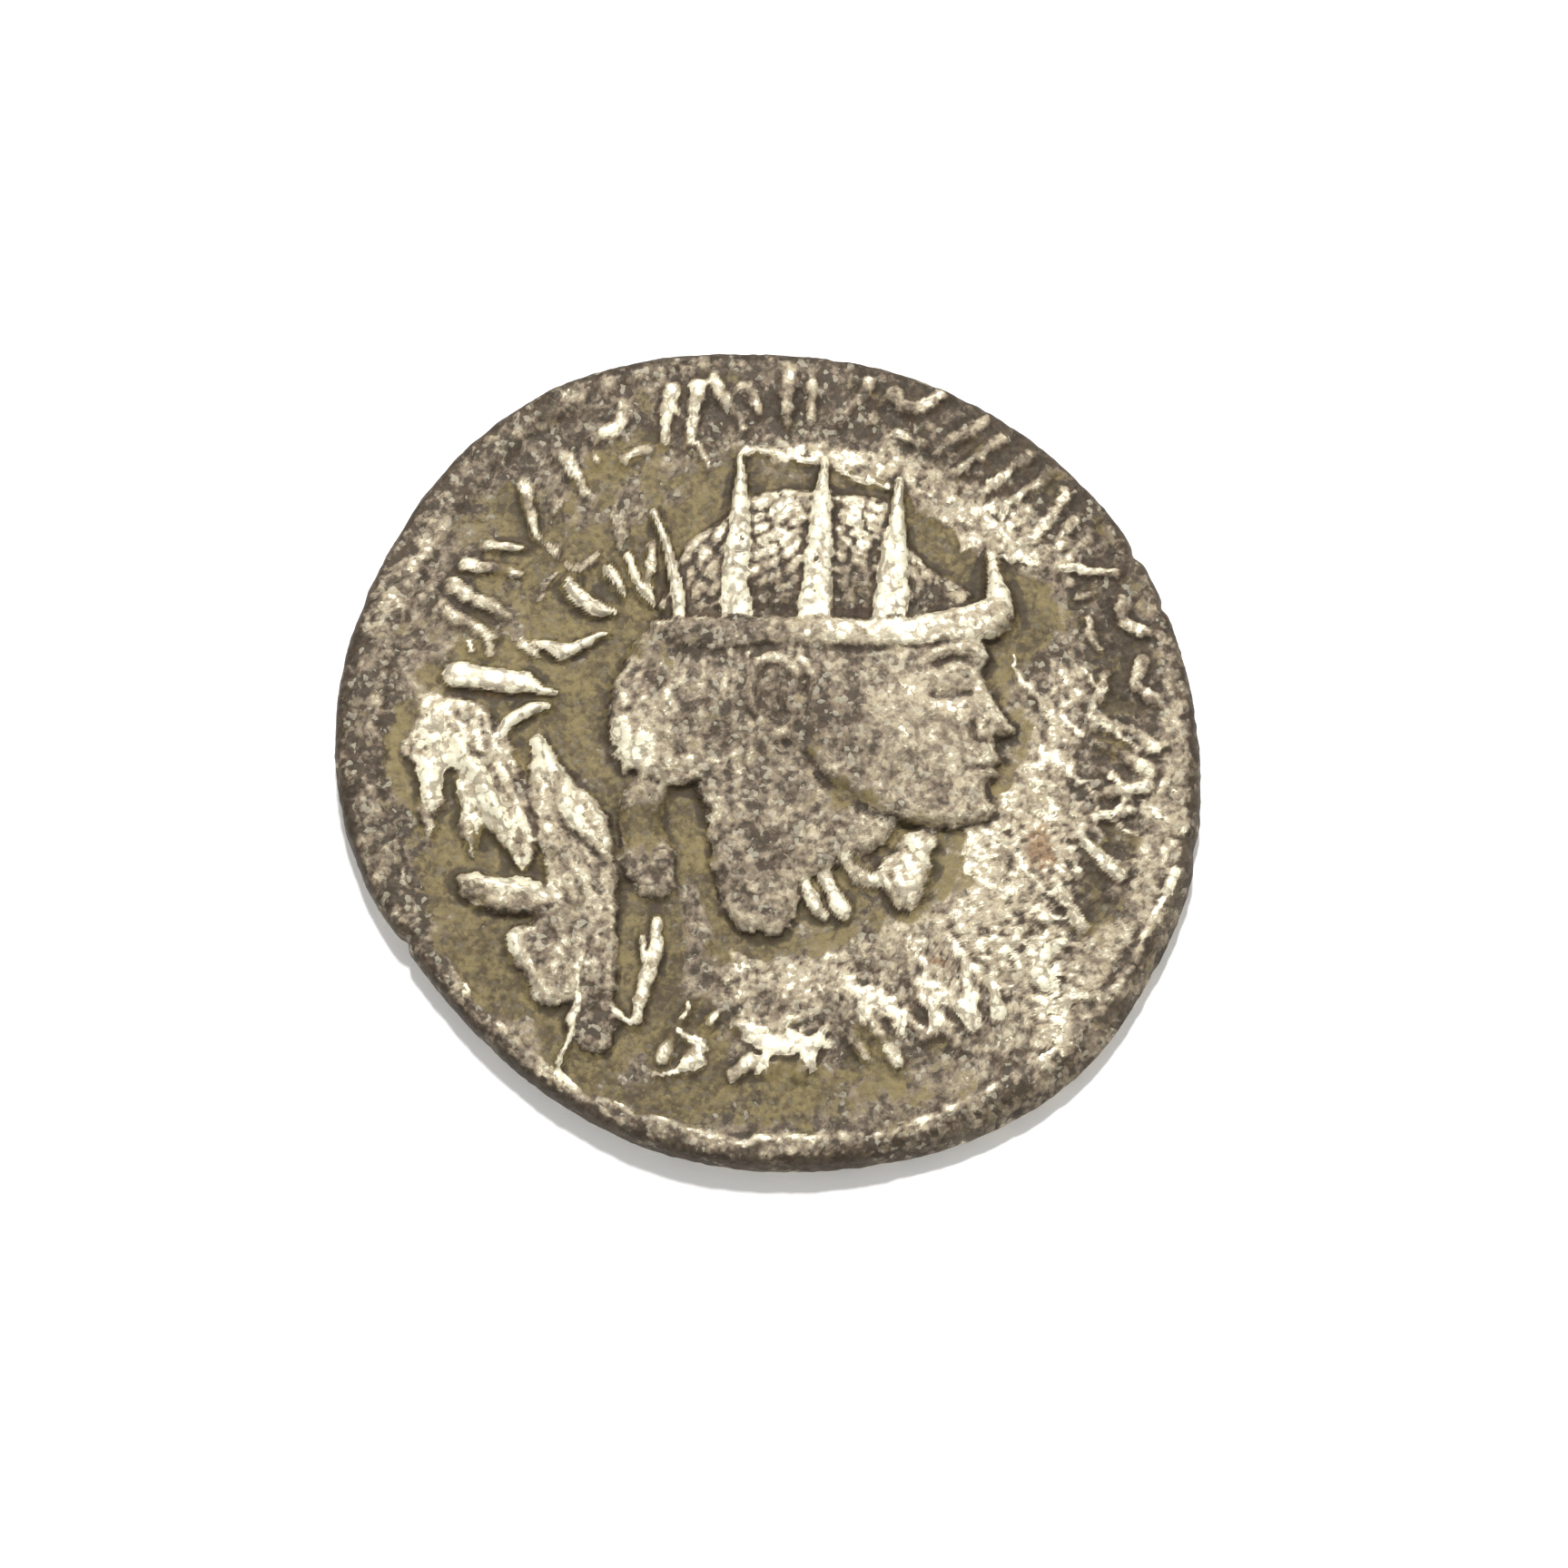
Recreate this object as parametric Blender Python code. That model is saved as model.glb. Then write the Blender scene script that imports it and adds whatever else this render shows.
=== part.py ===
"""An antoninianus coin: one struck flan of worn silver-copper alloy.

It lies flat with the obverse up. Units are metres, +Z is up, +X is to the right of the bust's picture
and +Y is towards the points of its crown. The origin is the middle of the underside.
The carving is drawn in millimetres on the two dies and scaled with them.
"""

import math

import bmesh
import bpy
import numpy as np
from mathutils import Vector
from mathutils.geometry import delaunay_2d_cdt

MM = 0.001

# Flan, in millimetres
FLAN_RADIUS = 11.25
FIELD_THICKNESS = 1.18
EDGE_ROUNDING = 0.22
SHEAR_LEAN = 0.42
SHEAR_CLOCK = 318.0
SHEAR_SPREAD = 34.0
# How far the edge stands outside the flan's radius, at every 15 degrees anticlockwise from +X
EDGE_DEPARTURE = (
    0.0, 0.0, 0.05, 0.05, 0.05, 0.05, 0.05, 0.3, 0.55, 0.5, 0.3, 0.2,
    0.0, -0.35, -0.85, -1.0, -0.95, -0.8, -0.7, -0.5, -0.15, 0.1, 0.05, 0.1,
)

# Obverse die, in millimetres. The carving was drawn on a border circle of DRAWN_RADIUS.
DRAWN_RADIUS = 10.5
DIE_RADIUS = 10.5
DIE_CENTRE = (0.5, 0.7)
RIM_RISE = 0.1
BORDER_STEP = 0.3
HEAD_RELIEF = 0.5
BAND_RELIEF = 0.56
NECK_RELIEF = 0.4
NAPE_RELIEF = 0.24
HAIR_RELIEF = 0.3
SPIKE_RELIEF = 0.46
TIE_RELIEF = 0.26
DRAPERY_RELIEF = 0.36
SHOULDER_RELIEF = 0.29
LOWER_RELIEF = 0.2
FOLD_RELIEF = 0.12
BODY_SHOULDER = 0.5
HEAD_SHOULDER = 0.4
CLOTH_SHOULDER = 0.35
BAND_SHOULDER = 0.22
LEGEND_RELIEF = 0.18
LEGEND_CENTRE = (0.55, 1.25)
LEGEND_RADIUS = 8.75
LEGEND_STROKE = 0.23
LEGEND_HEIGHT = 1.5
LEGEND_START = -112.0
LEGEND_END = 166.0
LEGEND_PLACES = 27
EDGE_WEAR = 0.1
EDGE_WEAR_WIDTH = 0.7

# Reverse die, in millimetres. Its high parts are worn to one flat plane, the underside.
REVERSE_RADIUS = 9.9
REVERSE_DRAWN_RADIUS = 9.9
REVERSE_CENTRE = (-0.2, 0.1)
REVERSE_TURN = 172.0
REVERSE_DEPTH = 0.15
REVERSE_SHOULDER = 0.35
REVERSE_STROKE = 0.2
REVERSE_BORDER_INSET = 0.2
REVERSE_LIP = 0.5
REVERSE_EDGE_LIFT = 0.08
REVERSE_LEGEND_RADIUS = 8.3
REVERSE_LEGEND_START = -60.0
REVERSE_LEGEND_END = 240.0
REVERSE_PLACES = 20
REVERSE_LEGEND_SHARE = 0.9

# Rows down the edge between its two rims: (share of the rounding, share of the height)
WALL_ROWS = ((0.3, 0.8), (0.0, 0.5), (0.25, 0.2))
SHARP_ANGLE = 40.0

# Mesh spacing, in millimetres. Points are added where the facets miss the carving by more than FACET_MISS.
EDGE_POINTS = 108
EDGE_CLEARANCE = 0.3
FIELD_SPACING = 1.0
FIELD_CLEARANCE = 0.6
OUTLINE_SPACING = 0.38
FACE_SPACING = 0.24
NEAREST = 0.13
FACET_MISS = 0.02
BURIED_BY = 1.2
# Guide points: shares of a shoulder's width, shares of a stroke's half-width, degrees to each side of its end
SHOULDER_ROWS = (1.0, 0.45, 0.0)
STROKE_ROWS = (1, -1, 0.5, -0.5)
END_SPREAD = 50.0
REFINING_ROUNDS = 9
ADDED_EACH_ROUND = 600
OBVERSE_POINTS = 3200
REVERSE_POINTS = 1250
# Places tried in each facet, as weights of its three corners
FACET_TRIES = (
    (1, 1, 1), (4, 1, 1), (1, 4, 1), (1, 1, 4), (1, 1, 0), (0, 1, 1), (1, 0, 1), (5, 5, 1),
)

# The head faces right in strict profile. Brow to nose and nose to chin are a third of the face each, the upper
# third is under the band, and the ear stands between the lines of the brow and the nose.
BROW_Y = 2.95
FACE_X = 5.6
FACE_THIRD = 2.27
# Forward of the face line and down from the brow, both in thirds
PROFILE = (
    (0.02, -0.3), (0.03, -0.12), (0.07, 0.0), (0.0, 0.16), (0.0, 0.27), (0.14, 0.55), (0.33, 0.82),
    (0.38, 0.9), (0.3, 0.97), (0.13, 1.0), (0.14, 1.12), (0.21, 1.24), (0.13, 1.33), (0.19, 1.41),
    (0.06, 1.55), (0.07, 1.7), (0.14, 1.82), (0.06, 1.97), (-0.12, 2.02),
)
JAW = ((4.2, -1.75), (2.9, -1.4), (1.8, -0.85), (1.0, -0.1), (0.5, 0.2))
HEAD_BACK = (
    (-0.7, -0.35), (-2.0, -0.65), (-3.4, -0.35), (-4.1, 0.6), (-4.1, 1.8), (-3.7, 2.9), (-3.0, 3.7),
    (0.0, 3.75), (4.5, 3.7),
)

# Closed outlines of the bust: knots of (x, y)
NECK = (
    (3.3, -1.1), (2.9, -2.2), (1.5, -2.8), (0.85, -3.6), (0.6, -4.35), (-0.1, -4.6), (-0.85, -4.35),
    (-1.3, -3.5), (-1.6, -2.4), (-1.7, -1.2), (-1.9, 0.0), (-0.5, 0.8), (1.5, 0.3),
)
NAPE = ((-2.5, -0.2), (-2.7, -1.3), (-2.3, -2.6), (-2.5, -3.4), (-3.3, -3.45), (-3.85, -2.6), (-3.7, -0.5))
BAND = (
    (-3.05, 3.9), (-1.0, 4.0), (1.0, 4.0), (2.6, 3.95), (4.0, 4.05), (5.1, 4.3), (5.75, 4.55),
    (6.2, 4.5), (6.38, 4.0), (6.05, 3.45), (4.6, 3.15), (2.8, 3.05), (0.6, 3.15), (-1.4, 3.0), (-2.6, 3.25),
)
CROWN_HAIR = (
    (-2.75, 4.0), (-2.6, 5.0), (-2.15, 6.05), (-1.3, 6.65), (-0.5, 7.3), (0.6, 7.5), (2.0, 7.35),
    (3.2, 7.15), (3.7, 6.0), (4.3, 5.3), (5.1, 4.85), (5.3, 4.3), (4.0, 3.7), (0.0, 3.6),
)
SHOULDER = (
    (-9.35, 0.5), (-9.1, 1.4), (-8.2, 1.9), (-7.4, 1.6), (-6.95, 0.95), (-6.5, 0.3), (-6.05, -0.9),
    (-5.9, -2.3), (-6.45, -2.85), (-6.9, -2.35), (-7.35, -2.0), (-7.7, -2.5), (-7.95, -1.8), (-8.3, -0.6),
    (-8.65, -1.6), (-9.0, -1.6), (-9.1, -0.4),
)
CLOAK = (
    (-5.95, 0.9), (-5.4, 0.15), (-4.8, -0.6), (-4.2, -1.25), (-3.9, -2.2), (-3.85, -3.7), (-3.9, -5.9),
    (-4.4, -6.35), (-5.05, -6.15), (-5.5, -6.45), (-6.15, -5.9), (-6.9, -4.45), (-6.1, -4.1), (-5.7, -3.4),
    (-5.9, -2.4), (-6.15, -1.2), (-6.2, 0.2),
)
LOWER_LAYER = ((-5.15, -6.0), (-5.15, -7.1), (-4.4, -7.7), (-3.85, -7.1), (-3.95, -6.0), (-4.5, -5.7))
LEAF_FOLD = (
    (-8.2, -2.95), (-7.7, -2.8), (-6.6, -2.9), (-5.85, -3.1), (-5.4, -3.6), (-5.8, -3.98), (-7.2, -3.88),
    (-7.85, -3.5),
)
THROAT_FOLD = (
    (4.3, -1.25), (4.42, -1.95), (4.15, -3.0), (3.88, -3.68), (3.35, -3.9), (2.95, -3.4), (2.7, -3.0),
    (3.1, -2.35), (3.75, -1.7),
)

# Strokes that stand on the field: knots of (x, y, half-width)
SPIKES = (
    ((-2.3, 4.0, 0.2), (-2.5, 5.4, 0.16), (-3.0, 6.85, 0.05)),
    ((-0.83, 3.9, 0.5), (-0.77, 6.0, 0.35), (-0.72, 8.3, 0.06)),
    ((1.2, 3.9, 0.52), (1.34, 6.0, 0.36), (1.46, 8.2, 0.06)),
    ((3.15, 3.9, 0.54), (3.28, 6.0, 0.34), (3.42, 7.7, 0.06)),
    ((6.0, 4.1, 0.42), (5.92, 4.9, 0.22), (5.78, 5.7, 0.06)),
)
TIES = (
    ((-5.2, 5.1, 0.08), (-5.02, 4.62, 0.24), (-4.5, 4.2, 0.24), (-3.95, 4.1, 0.06)),
    ((-5.85, 3.3, 0.1), (-5.4, 3.08, 0.24), (-4.9, 3.25, 0.16), (-4.25, 3.55, 0.05)),
    ((-3.65, 5.65, 0.12), (-3.4, 5.0, 0.14), (-3.0, 4.35, 0.08)),
    ((-4.15, 5.25, 0.16), (-3.75, 4.6, 0.08)),
    ((-8.1, 2.45, 0.38), (-7.0, 2.3, 0.34), (-6.3, 2.24, 0.27), (-5.5, 2.0, 0.06)),
    ((-5.75, 1.65, 0.12), (-6.5, 1.35, 0.22), (-7.0, 0.8, 0.14)),
)
LOOSE_FOLDS = (
    ((-2.85, -4.2, 0.22), (-3.0, -5.2, 0.24), (-3.4, -6.7, 0.16)),
    ((-3.35, -6.75, 0.12), (-3.95, -6.5, 0.08)),
    ((-4.8, -5.0, 0.12), (-4.95, -6.4, 0.12), (-5.3, -7.8, 0.08)),
    ((1.46, -2.9, 0.2), (1.7, -3.45, 0.24), (1.9, -3.9, 0.22)),
    ((1.0, -3.15, 0.16), (1.15, -3.6, 0.22), (1.4, -3.95, 0.16)),
    ((2.0, -2.5, 0.16), (2.3, -2.95, 0.2), (2.9, -3.1, 0.2)),
)
DRAPERY_FOLDS = (
    ((-5.85, 0.7, 0.12), (-5.3, -0.9, 0.26), (-4.2, -2.5, 0.16)),
    ((-8.1, 1.1, 0.16), (-7.6, -0.4, 0.26), (-6.9, -2.0, 0.16)),
    ((-7.3, 0.2, 0.12), (-6.6, -1.4, 0.22), (-6.3, -2.4, 0.12)),
    ((-5.7, -3.0, 0.14), (-5.4, -4.4, 0.26), (-5.6, -6.0, 0.14)),
    ((-4.7, -2.9, 0.14), (-4.5, -4.6, 0.24), (-4.6, -6.3, 0.12)),
)
# Carving laid over the face: (height, knots of forward, down and half-width in thirds of the face)
FACE_FEATURES = (
    (0.10, ((-0.6, 0.02, 0.06), (-0.32, -0.07, 0.1), (0.0, 0.0, 0.06))),
    (0.07, ((-0.5, 0.28, 0.05), (-0.3, 0.26, 0.1), (-0.15, 0.27, 0.06))),
    (0.09, ((-0.02, 0.3, 0.06), (0.1, 0.6, 0.09), (0.24, 0.86, 0.11))),
    (0.07, ((0.0, 0.8, 0.05), (0.03, 0.93, 0.08), (0.14, 0.95, 0.06))),
    (0.06, ((-0.1, 1.3, 0.05), (0.05, 1.26, 0.07), (0.15, 1.25, 0.06))),
    (0.06, ((-0.08, 1.41, 0.05), (0.05, 1.43, 0.07), (0.13, 1.42, 0.06))),
)
# Carving laid over the side of the head: (height, knots)
EAR = (0.13, (
    (0.75, 1.9, 0.14), (0.68, 2.5, 0.17), (0.25, 2.85, 0.18), (-0.28, 2.6, 0.18), (-0.45, 2.0, 0.17),
    (-0.28, 1.35, 0.17), (0.08, 0.88, 0.2), (0.45, 0.85, 0.16),
))
LOCKS = (
    (0.07, ((-0.9, 2.9, 0.12), (-1.3, 2.0, 0.24), (-1.3, 1.0, 0.14))),
    (0.07, ((-1.8, 3.0, 0.12), (-2.3, 2.1, 0.24), (-2.3, 1.0, 0.14))),
    (0.07, ((-2.8, 3.1, 0.12), (-3.3, 2.1, 0.24), (-3.2, 1.0, 0.14))),
)
# Soft swellings: (height, x, y, radius)
SWELLINGS = ((0.08, 3.9, 1.1, 1.7), (0.06, 5.2, -1.1, 0.9), (0.08, 0.3, -1.8, 2.0), (0.05, 2.6, 2.2, 1.2))

# Standing figure in a long gown, with a staff in one hand and a dish in the other
REVERSE_GOWN = (
    (-1.15, 4.3), (0.0, 4.75), (1.15, 4.3), (1.4, 2.7), (1.15, 1.4), (1.7, -1.5), (2.2, -6.3), (0.3, -6.6),
    (-1.9, -6.3), (-1.6, -1.5), (-1.15, 1.4), (-1.35, 2.8),
)
REVERSE_LIMBS = (
    ((1.0, 3.8, 0.34), (2.4, 3.3, 0.3), (3.35, 4.3, 0.24)),
    ((-1.0, 3.8, 0.34), (-2.2, 2.5, 0.3), (-2.9, 1.3, 0.24)),
    ((3.45, 7.0, 0.2), (3.5, 0.5, 0.2), (3.5, -6.3, 0.2)),
    ((-4.3, -6.9, 0.18), (0.0, -7.0, 0.22), (4.3, -6.9, 0.18)),
    ((-3.4, 1.0, 0.26), (-2.4, 1.0, 0.26)),
)
REVERSE_HEAD = (
    (0.0, 6.35), (0.6, 6.1), (0.75, 5.5), (0.5, 4.95), (0.0, 4.8), (-0.5, 4.95), (-0.75, 5.5), (-0.6, 6.1),
)

# Billon colour, from the worn high parts
BILLON_COLOUR = (0.42, 0.38, 0.31, 1.0)
BILLON_ROUGHNESS = 0.48
BILLON_METALLIC = 0.85


def smooth_path(knots, step, closed=False):
    """Points about `step` apart on the Catmull-Rom curve that passes through the knots."""
    knots = np.asarray(knots, float)
    if closed:
        held = knots[np.arange(-1, len(knots) + 2) % len(knots)]
    else:
        held = np.vstack([2 * knots[0] - knots[1], knots, 2 * knots[-1] - knots[-2]])
    runs = []
    for before, start, end, after in zip(held, held[1:], held[2:], held[3:]):
        count = max(1, round(math.dist(start[:2], end[:2]) / step))
        t = (np.arange(count) / count)[:, None]
        bend = 2 * before - 5 * start + 4 * end - after
        twist = 3 * start - before - 3 * end + after
        runs.append(0.5 * (2 * start + (end - before) * t + bend * t**2 + twist * t**3))
    if not closed:
        runs.append(knots[-1:])
    return np.vstack(runs)


def depth_inside(points, loop):
    """How far each point is inside a closed loop, less than nothing outside it."""
    start = loop[None]
    end = np.roll(loop, -1, axis=0)[None]
    span = end - start
    offset = points[:, None] - start
    along = np.clip((offset * span).sum(-1) / (span**2).sum(-1), 0, 1)
    gap = np.linalg.norm(offset - along[..., None] * span, axis=-1).min(axis=1)
    x, y = points[:, None, 0], points[:, None, 1]
    straddles = (start[..., 1] > y) != (end[..., 1] > y)
    rise = np.where(span[..., 1] == 0, 1, span[..., 1])
    meets = start[..., 0] + (y - start[..., 1]) / rise * span[..., 0]
    inside = (straddles & (x < meets)).sum(axis=1) % 2 == 1
    return np.where(inside, gap, -gap)


def share_of_stroke(points, line):
    """1 on a stroke's middle line, falling evenly to 0 at its foot."""
    start, end = line[:-1, :2][None], line[1:, :2][None]
    span = end - start
    offset = points[:, None] - start
    along = np.clip((offset * span).sum(-1) / (span**2).sum(-1), 0, 1)
    gap = np.linalg.norm(offset - along[..., None] * span, axis=-1)
    half_width = line[:-1, 2] + along * (line[1:, 2] - line[:-1, 2])
    return np.clip(1 - gap / half_width, 0, 1).max(axis=1)


def rounded(share):
    """A worn shoulder: steep at the foot and level at the top."""
    return np.sin(np.clip(share, 0, 1) * math.pi / 2)


class Carving:
    """One feature of a die: where it rises, how high, and the points that a mesh needs to follow it."""

    def __init__(self, height, knots, shoulder=None, laid_over=False, spacing=OUTLINE_SPACING):
        self.height = height
        self.shoulder = shoulder
        self.laid_over = laid_over
        self.path = smooth_path(knots, spacing, closed=shoulder is not None)

    def rise(self, points):
        """The feature's height at each point, nothing outside it."""
        reach = 0 if self.shoulder else self.path[:, 2].max()
        low = self.path[:, :2].min(axis=0) - reach
        high = self.path[:, :2].max(axis=0) + reach
        near = np.all((points > low) & (points < high), axis=1)
        height = np.zeros(len(points))
        if self.shoulder:
            share = depth_inside(points[near], self.path) / self.shoulder
        else:
            share = share_of_stroke(points[near], self.path)
        height[near] = self.height * rounded(share)
        return height

    def guide_points(self):
        """Rows of points along the feature: crest, mid slope and foot, on both sides of a stroke."""
        if self.shoulder:
            ahead = np.roll(self.path, -1, axis=0) - np.roll(self.path, 1, axis=0)
            inward = np.stack([-ahead[:, 1], ahead[:, 0]], 1)
            inward /= np.linalg.norm(inward, axis=1)[:, None]
            inward *= np.sign(depth_inside(self.path + inward * 0.02, self.path))[:, None]
            rows = []
            for share in SHOULDER_ROWS:
                row = self.path + inward * self.shoulder * share
                rows.append(row[depth_inside(row, self.path) > 0.75 * self.shoulder * share - 1e-6])
            return np.vstack(rows)
        half_width = self.path[:, 2]
        ahead = np.gradient(self.path[:, :2], axis=0)
        across = np.stack([-ahead[:, 1], ahead[:, 0]], 1)
        across *= (half_width / np.linalg.norm(across, axis=1))[:, None]
        rows = [self.path[:, :2]]
        for end, neighbour in ((0, 1), (-1, -2)):
            away = self.path[end, :2] - self.path[neighbour, :2]
            away *= half_width[end] / np.linalg.norm(away)
            turned = np.array([-away[1], away[0]])
            for angle in (0, math.radians(END_SPREAD), -math.radians(END_SPREAD)):
                rows.append([self.path[end, :2] + away * math.cos(angle) + turned * math.sin(angle)])
        for share in STROKE_ROWS:
            row = self.path[:, :2] + across * share
            rows.append(row[half_width * abs(share) > NEAREST])
        return np.vstack(rows)


def marks_round(centre, radius, height, half_width, rise, first, last, places):
    """Worn strokes in a ring: slanted pairs, uneven pairs, a tick with a pellet, and a leaning bow."""
    motifs = (
        (((-0.28, -0.5), (-0.1, 0.5)), ((0.18, -0.5), (0.36, 0.5))),
        (((-0.1, -0.5), (-0.22, 0.5)), ((0.3, -0.35), (0.22, 0.2))),
        (((-0.15, -0.45), (0.12, 0.45)), ((0.4, -0.2), (0.42, -0.12))),
        (((-0.35, 0.42), (0.0, 0.2), (0.38, 0.45)), ((-0.3, -0.3), (0.25, -0.42))),
    )
    carvings = []
    for place in range(places):
        angle = math.radians(first + (last - first) * (place + 0.5) / places)
        lean = angle + 0.3 * math.sin(2.3 * place)
        out = np.array([math.cos(lean), math.sin(lean)])
        side = np.array([out[1], -out[0]])
        middle = centre + radius * np.array([math.cos(angle), math.sin(angle)])
        for stroke in motifs[(place * 3 + place // 4) % len(motifs)]:
            knots = [
                (*(middle + side * across * height + out * up * height), half_width)
                for across, up in stroke
            ]
            carvings.append(Carving(rise, knots))
    return carvings


def on_face(forward, down):
    """The place of a point that is given in thirds of the face, from the face line and the brow."""
    return FACE_X + FACE_THIRD * forward, BROW_Y - FACE_THIRD * down


def obverse_carvings():
    head = (*(on_face(*place) for place in PROFILE), *JAW, *HEAD_BACK)
    carvings = [
        Carving(NECK_RELIEF, NECK, BODY_SHOULDER),
        Carving(NAPE_RELIEF, NAPE, HEAD_SHOULDER),
        Carving(HEAD_RELIEF, head, HEAD_SHOULDER, spacing=FACE_SPACING),
        Carving(HAIR_RELIEF, CROWN_HAIR, CLOTH_SHOULDER),
        Carving(BAND_RELIEF, BAND, BAND_SHOULDER),
        Carving(SHOULDER_RELIEF, SHOULDER, CLOTH_SHOULDER),
        Carving(DRAPERY_RELIEF, CLOAK, CLOTH_SHOULDER),
        Carving(LOWER_RELIEF, LOWER_LAYER, CLOTH_SHOULDER),
        Carving(DRAPERY_RELIEF, LEAF_FOLD, CLOTH_SHOULDER),
        Carving(SHOULDER_RELIEF, THROAT_FOLD, CLOTH_SHOULDER),
    ]
    carvings += [Carving(SPIKE_RELIEF, knots) for knots in SPIKES]
    carvings += [Carving(TIE_RELIEF, knots) for knots in TIES]
    carvings += [Carving(TIE_RELIEF, knots) for knots in LOOSE_FOLDS]
    carvings += [Carving(FOLD_RELIEF, knots, laid_over=True) for knots in DRAPERY_FOLDS]
    carvings += [Carving(height, knots, laid_over=True) for height, knots in (EAR, *LOCKS)]
    for height, knots in FACE_FEATURES:
        placed = [(*on_face(forward, down), FACE_THIRD * half_width) for forward, down, half_width in knots]
        carvings.append(Carving(height, placed, laid_over=True, spacing=FACE_SPACING))
    carvings += marks_round(
        LEGEND_CENTRE, LEGEND_RADIUS, LEGEND_HEIGHT, LEGEND_STROKE, LEGEND_RELIEF,
        LEGEND_START, LEGEND_END, LEGEND_PLACES,
    )
    return carvings


def reverse_carvings():
    depth = REVERSE_DEPTH
    carvings = [Carving(depth, knots, REVERSE_SHOULDER) for knots in (REVERSE_GOWN, REVERSE_HEAD)]
    carvings += [Carving(depth, knots) for knots in REVERSE_LIMBS]
    carvings += marks_round(
        (0.0, 0.0), REVERSE_LEGEND_RADIUS, LEGEND_HEIGHT, REVERSE_STROKE, depth * REVERSE_LEGEND_SHARE,
        REVERSE_LEGEND_START, REVERSE_LEGEND_END, REVERSE_PLACES,
    )
    return carvings


def edge_radius(clock):
    """The flan's radius at each angle in radians: the departures joined by a smooth closed curve."""
    turns = np.arange(len(EDGE_DEPARTURE)) / len(EDGE_DEPARTURE)
    here = np.mod(clock / (2 * math.pi), 1) * len(turns)
    first = here.astype(int) % len(turns)
    t = here - np.floor(here)
    held = np.array([np.roll(EDGE_DEPARTURE, 1 - step)[first] for step in range(4)])
    before, start, end, after = held
    bend = 2 * before - 5 * start + 4 * end - after
    twist = 3 * start - before - 3 * end + after
    departure = 0.5 * (2 * start + (end - before) * t + bend * t**2 + twist * t**3)
    return FLAN_RADIUS + departure


def shear_lean(clock):
    """How far the sheared part of the edge leans out from top to bottom."""
    away = np.mod(clock - math.radians(SHEAR_CLOCK) + math.pi, 2 * math.pi) - math.pi
    return SHEAR_LEAN * np.exp(-((away / math.radians(SHEAR_SPREAD)) ** 2))


def edge_loop(inset):
    clock = np.arange(EDGE_POINTS) * 2 * math.pi / EDGE_POINTS
    radius = edge_radius(clock) - inset(clock)
    return np.stack([radius * np.cos(clock), radius * np.sin(clock)], 1)


def obverse_height(points, carvings, outline):
    """Height of the obverse above its field."""
    from_die = np.linalg.norm(points - DIE_CENTRE, axis=1)
    height = RIM_RISE * rounded((from_die - DIE_RADIUS) / BORDER_STEP)
    drawn = (points - DIE_CENTRE) * (DRAWN_RADIUS / DIE_RADIUS) + DIE_CENTRE
    laid_over = np.zeros(len(points))
    for carving in carvings:
        if carving.laid_over:
            laid_over += carving.rise(drawn)
        else:
            height = np.maximum(height, carving.rise(drawn))
    for rise, x, y, radius in SWELLINGS:
        share = np.linalg.norm(drawn - (x, y), axis=1) / radius
        laid_over += rise * np.clip(1 - share**2, 0, 1) ** 2
    near_edge = np.clip(1 - depth_inside(points, outline) / EDGE_WEAR_WIDTH, 0, 1)
    return height + laid_over - EDGE_WEAR * near_edge**2


def from_obverse_die(drawn):
    return (drawn - DIE_CENTRE) * (DIE_RADIUS / DRAWN_RADIUS) + DIE_CENTRE


def to_reverse_die(points):
    """The reverse as seen from below, turned to its own upright."""
    turn = math.radians(REVERSE_TURN)
    across = -(points[:, 0] - REVERSE_CENTRE[0])
    up = points[:, 1] - REVERSE_CENTRE[1]
    seen = np.stack(
        [across * math.cos(turn) + up * math.sin(turn), up * math.cos(turn) - across * math.sin(turn)], 1
    )
    return seen * (REVERSE_DRAWN_RADIUS / REVERSE_RADIUS)


def from_reverse_die(drawn):
    turn = math.radians(REVERSE_TURN)
    seen = drawn * (REVERSE_RADIUS / REVERSE_DRAWN_RADIUS)
    across = seen[:, 0] * math.cos(turn) - seen[:, 1] * math.sin(turn)
    up = seen[:, 0] * math.sin(turn) + seen[:, 1] * math.cos(turn)
    return np.stack([REVERSE_CENTRE[0] - across, REVERSE_CENTRE[1] + up], 1)


def reverse_height(points, carvings):
    """Height of the reverse above its field. Its high parts are worn level with the underside."""
    drawn = to_reverse_die(points)
    from_die = np.linalg.norm(drawn, axis=1)
    height = REVERSE_DEPTH * rounded((from_die - REVERSE_DRAWN_RADIUS + REVERSE_BORDER_INSET) / BORDER_STEP)
    for carving in carvings:
        height = np.maximum(height, carving.rise(drawn))
    return height


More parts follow.
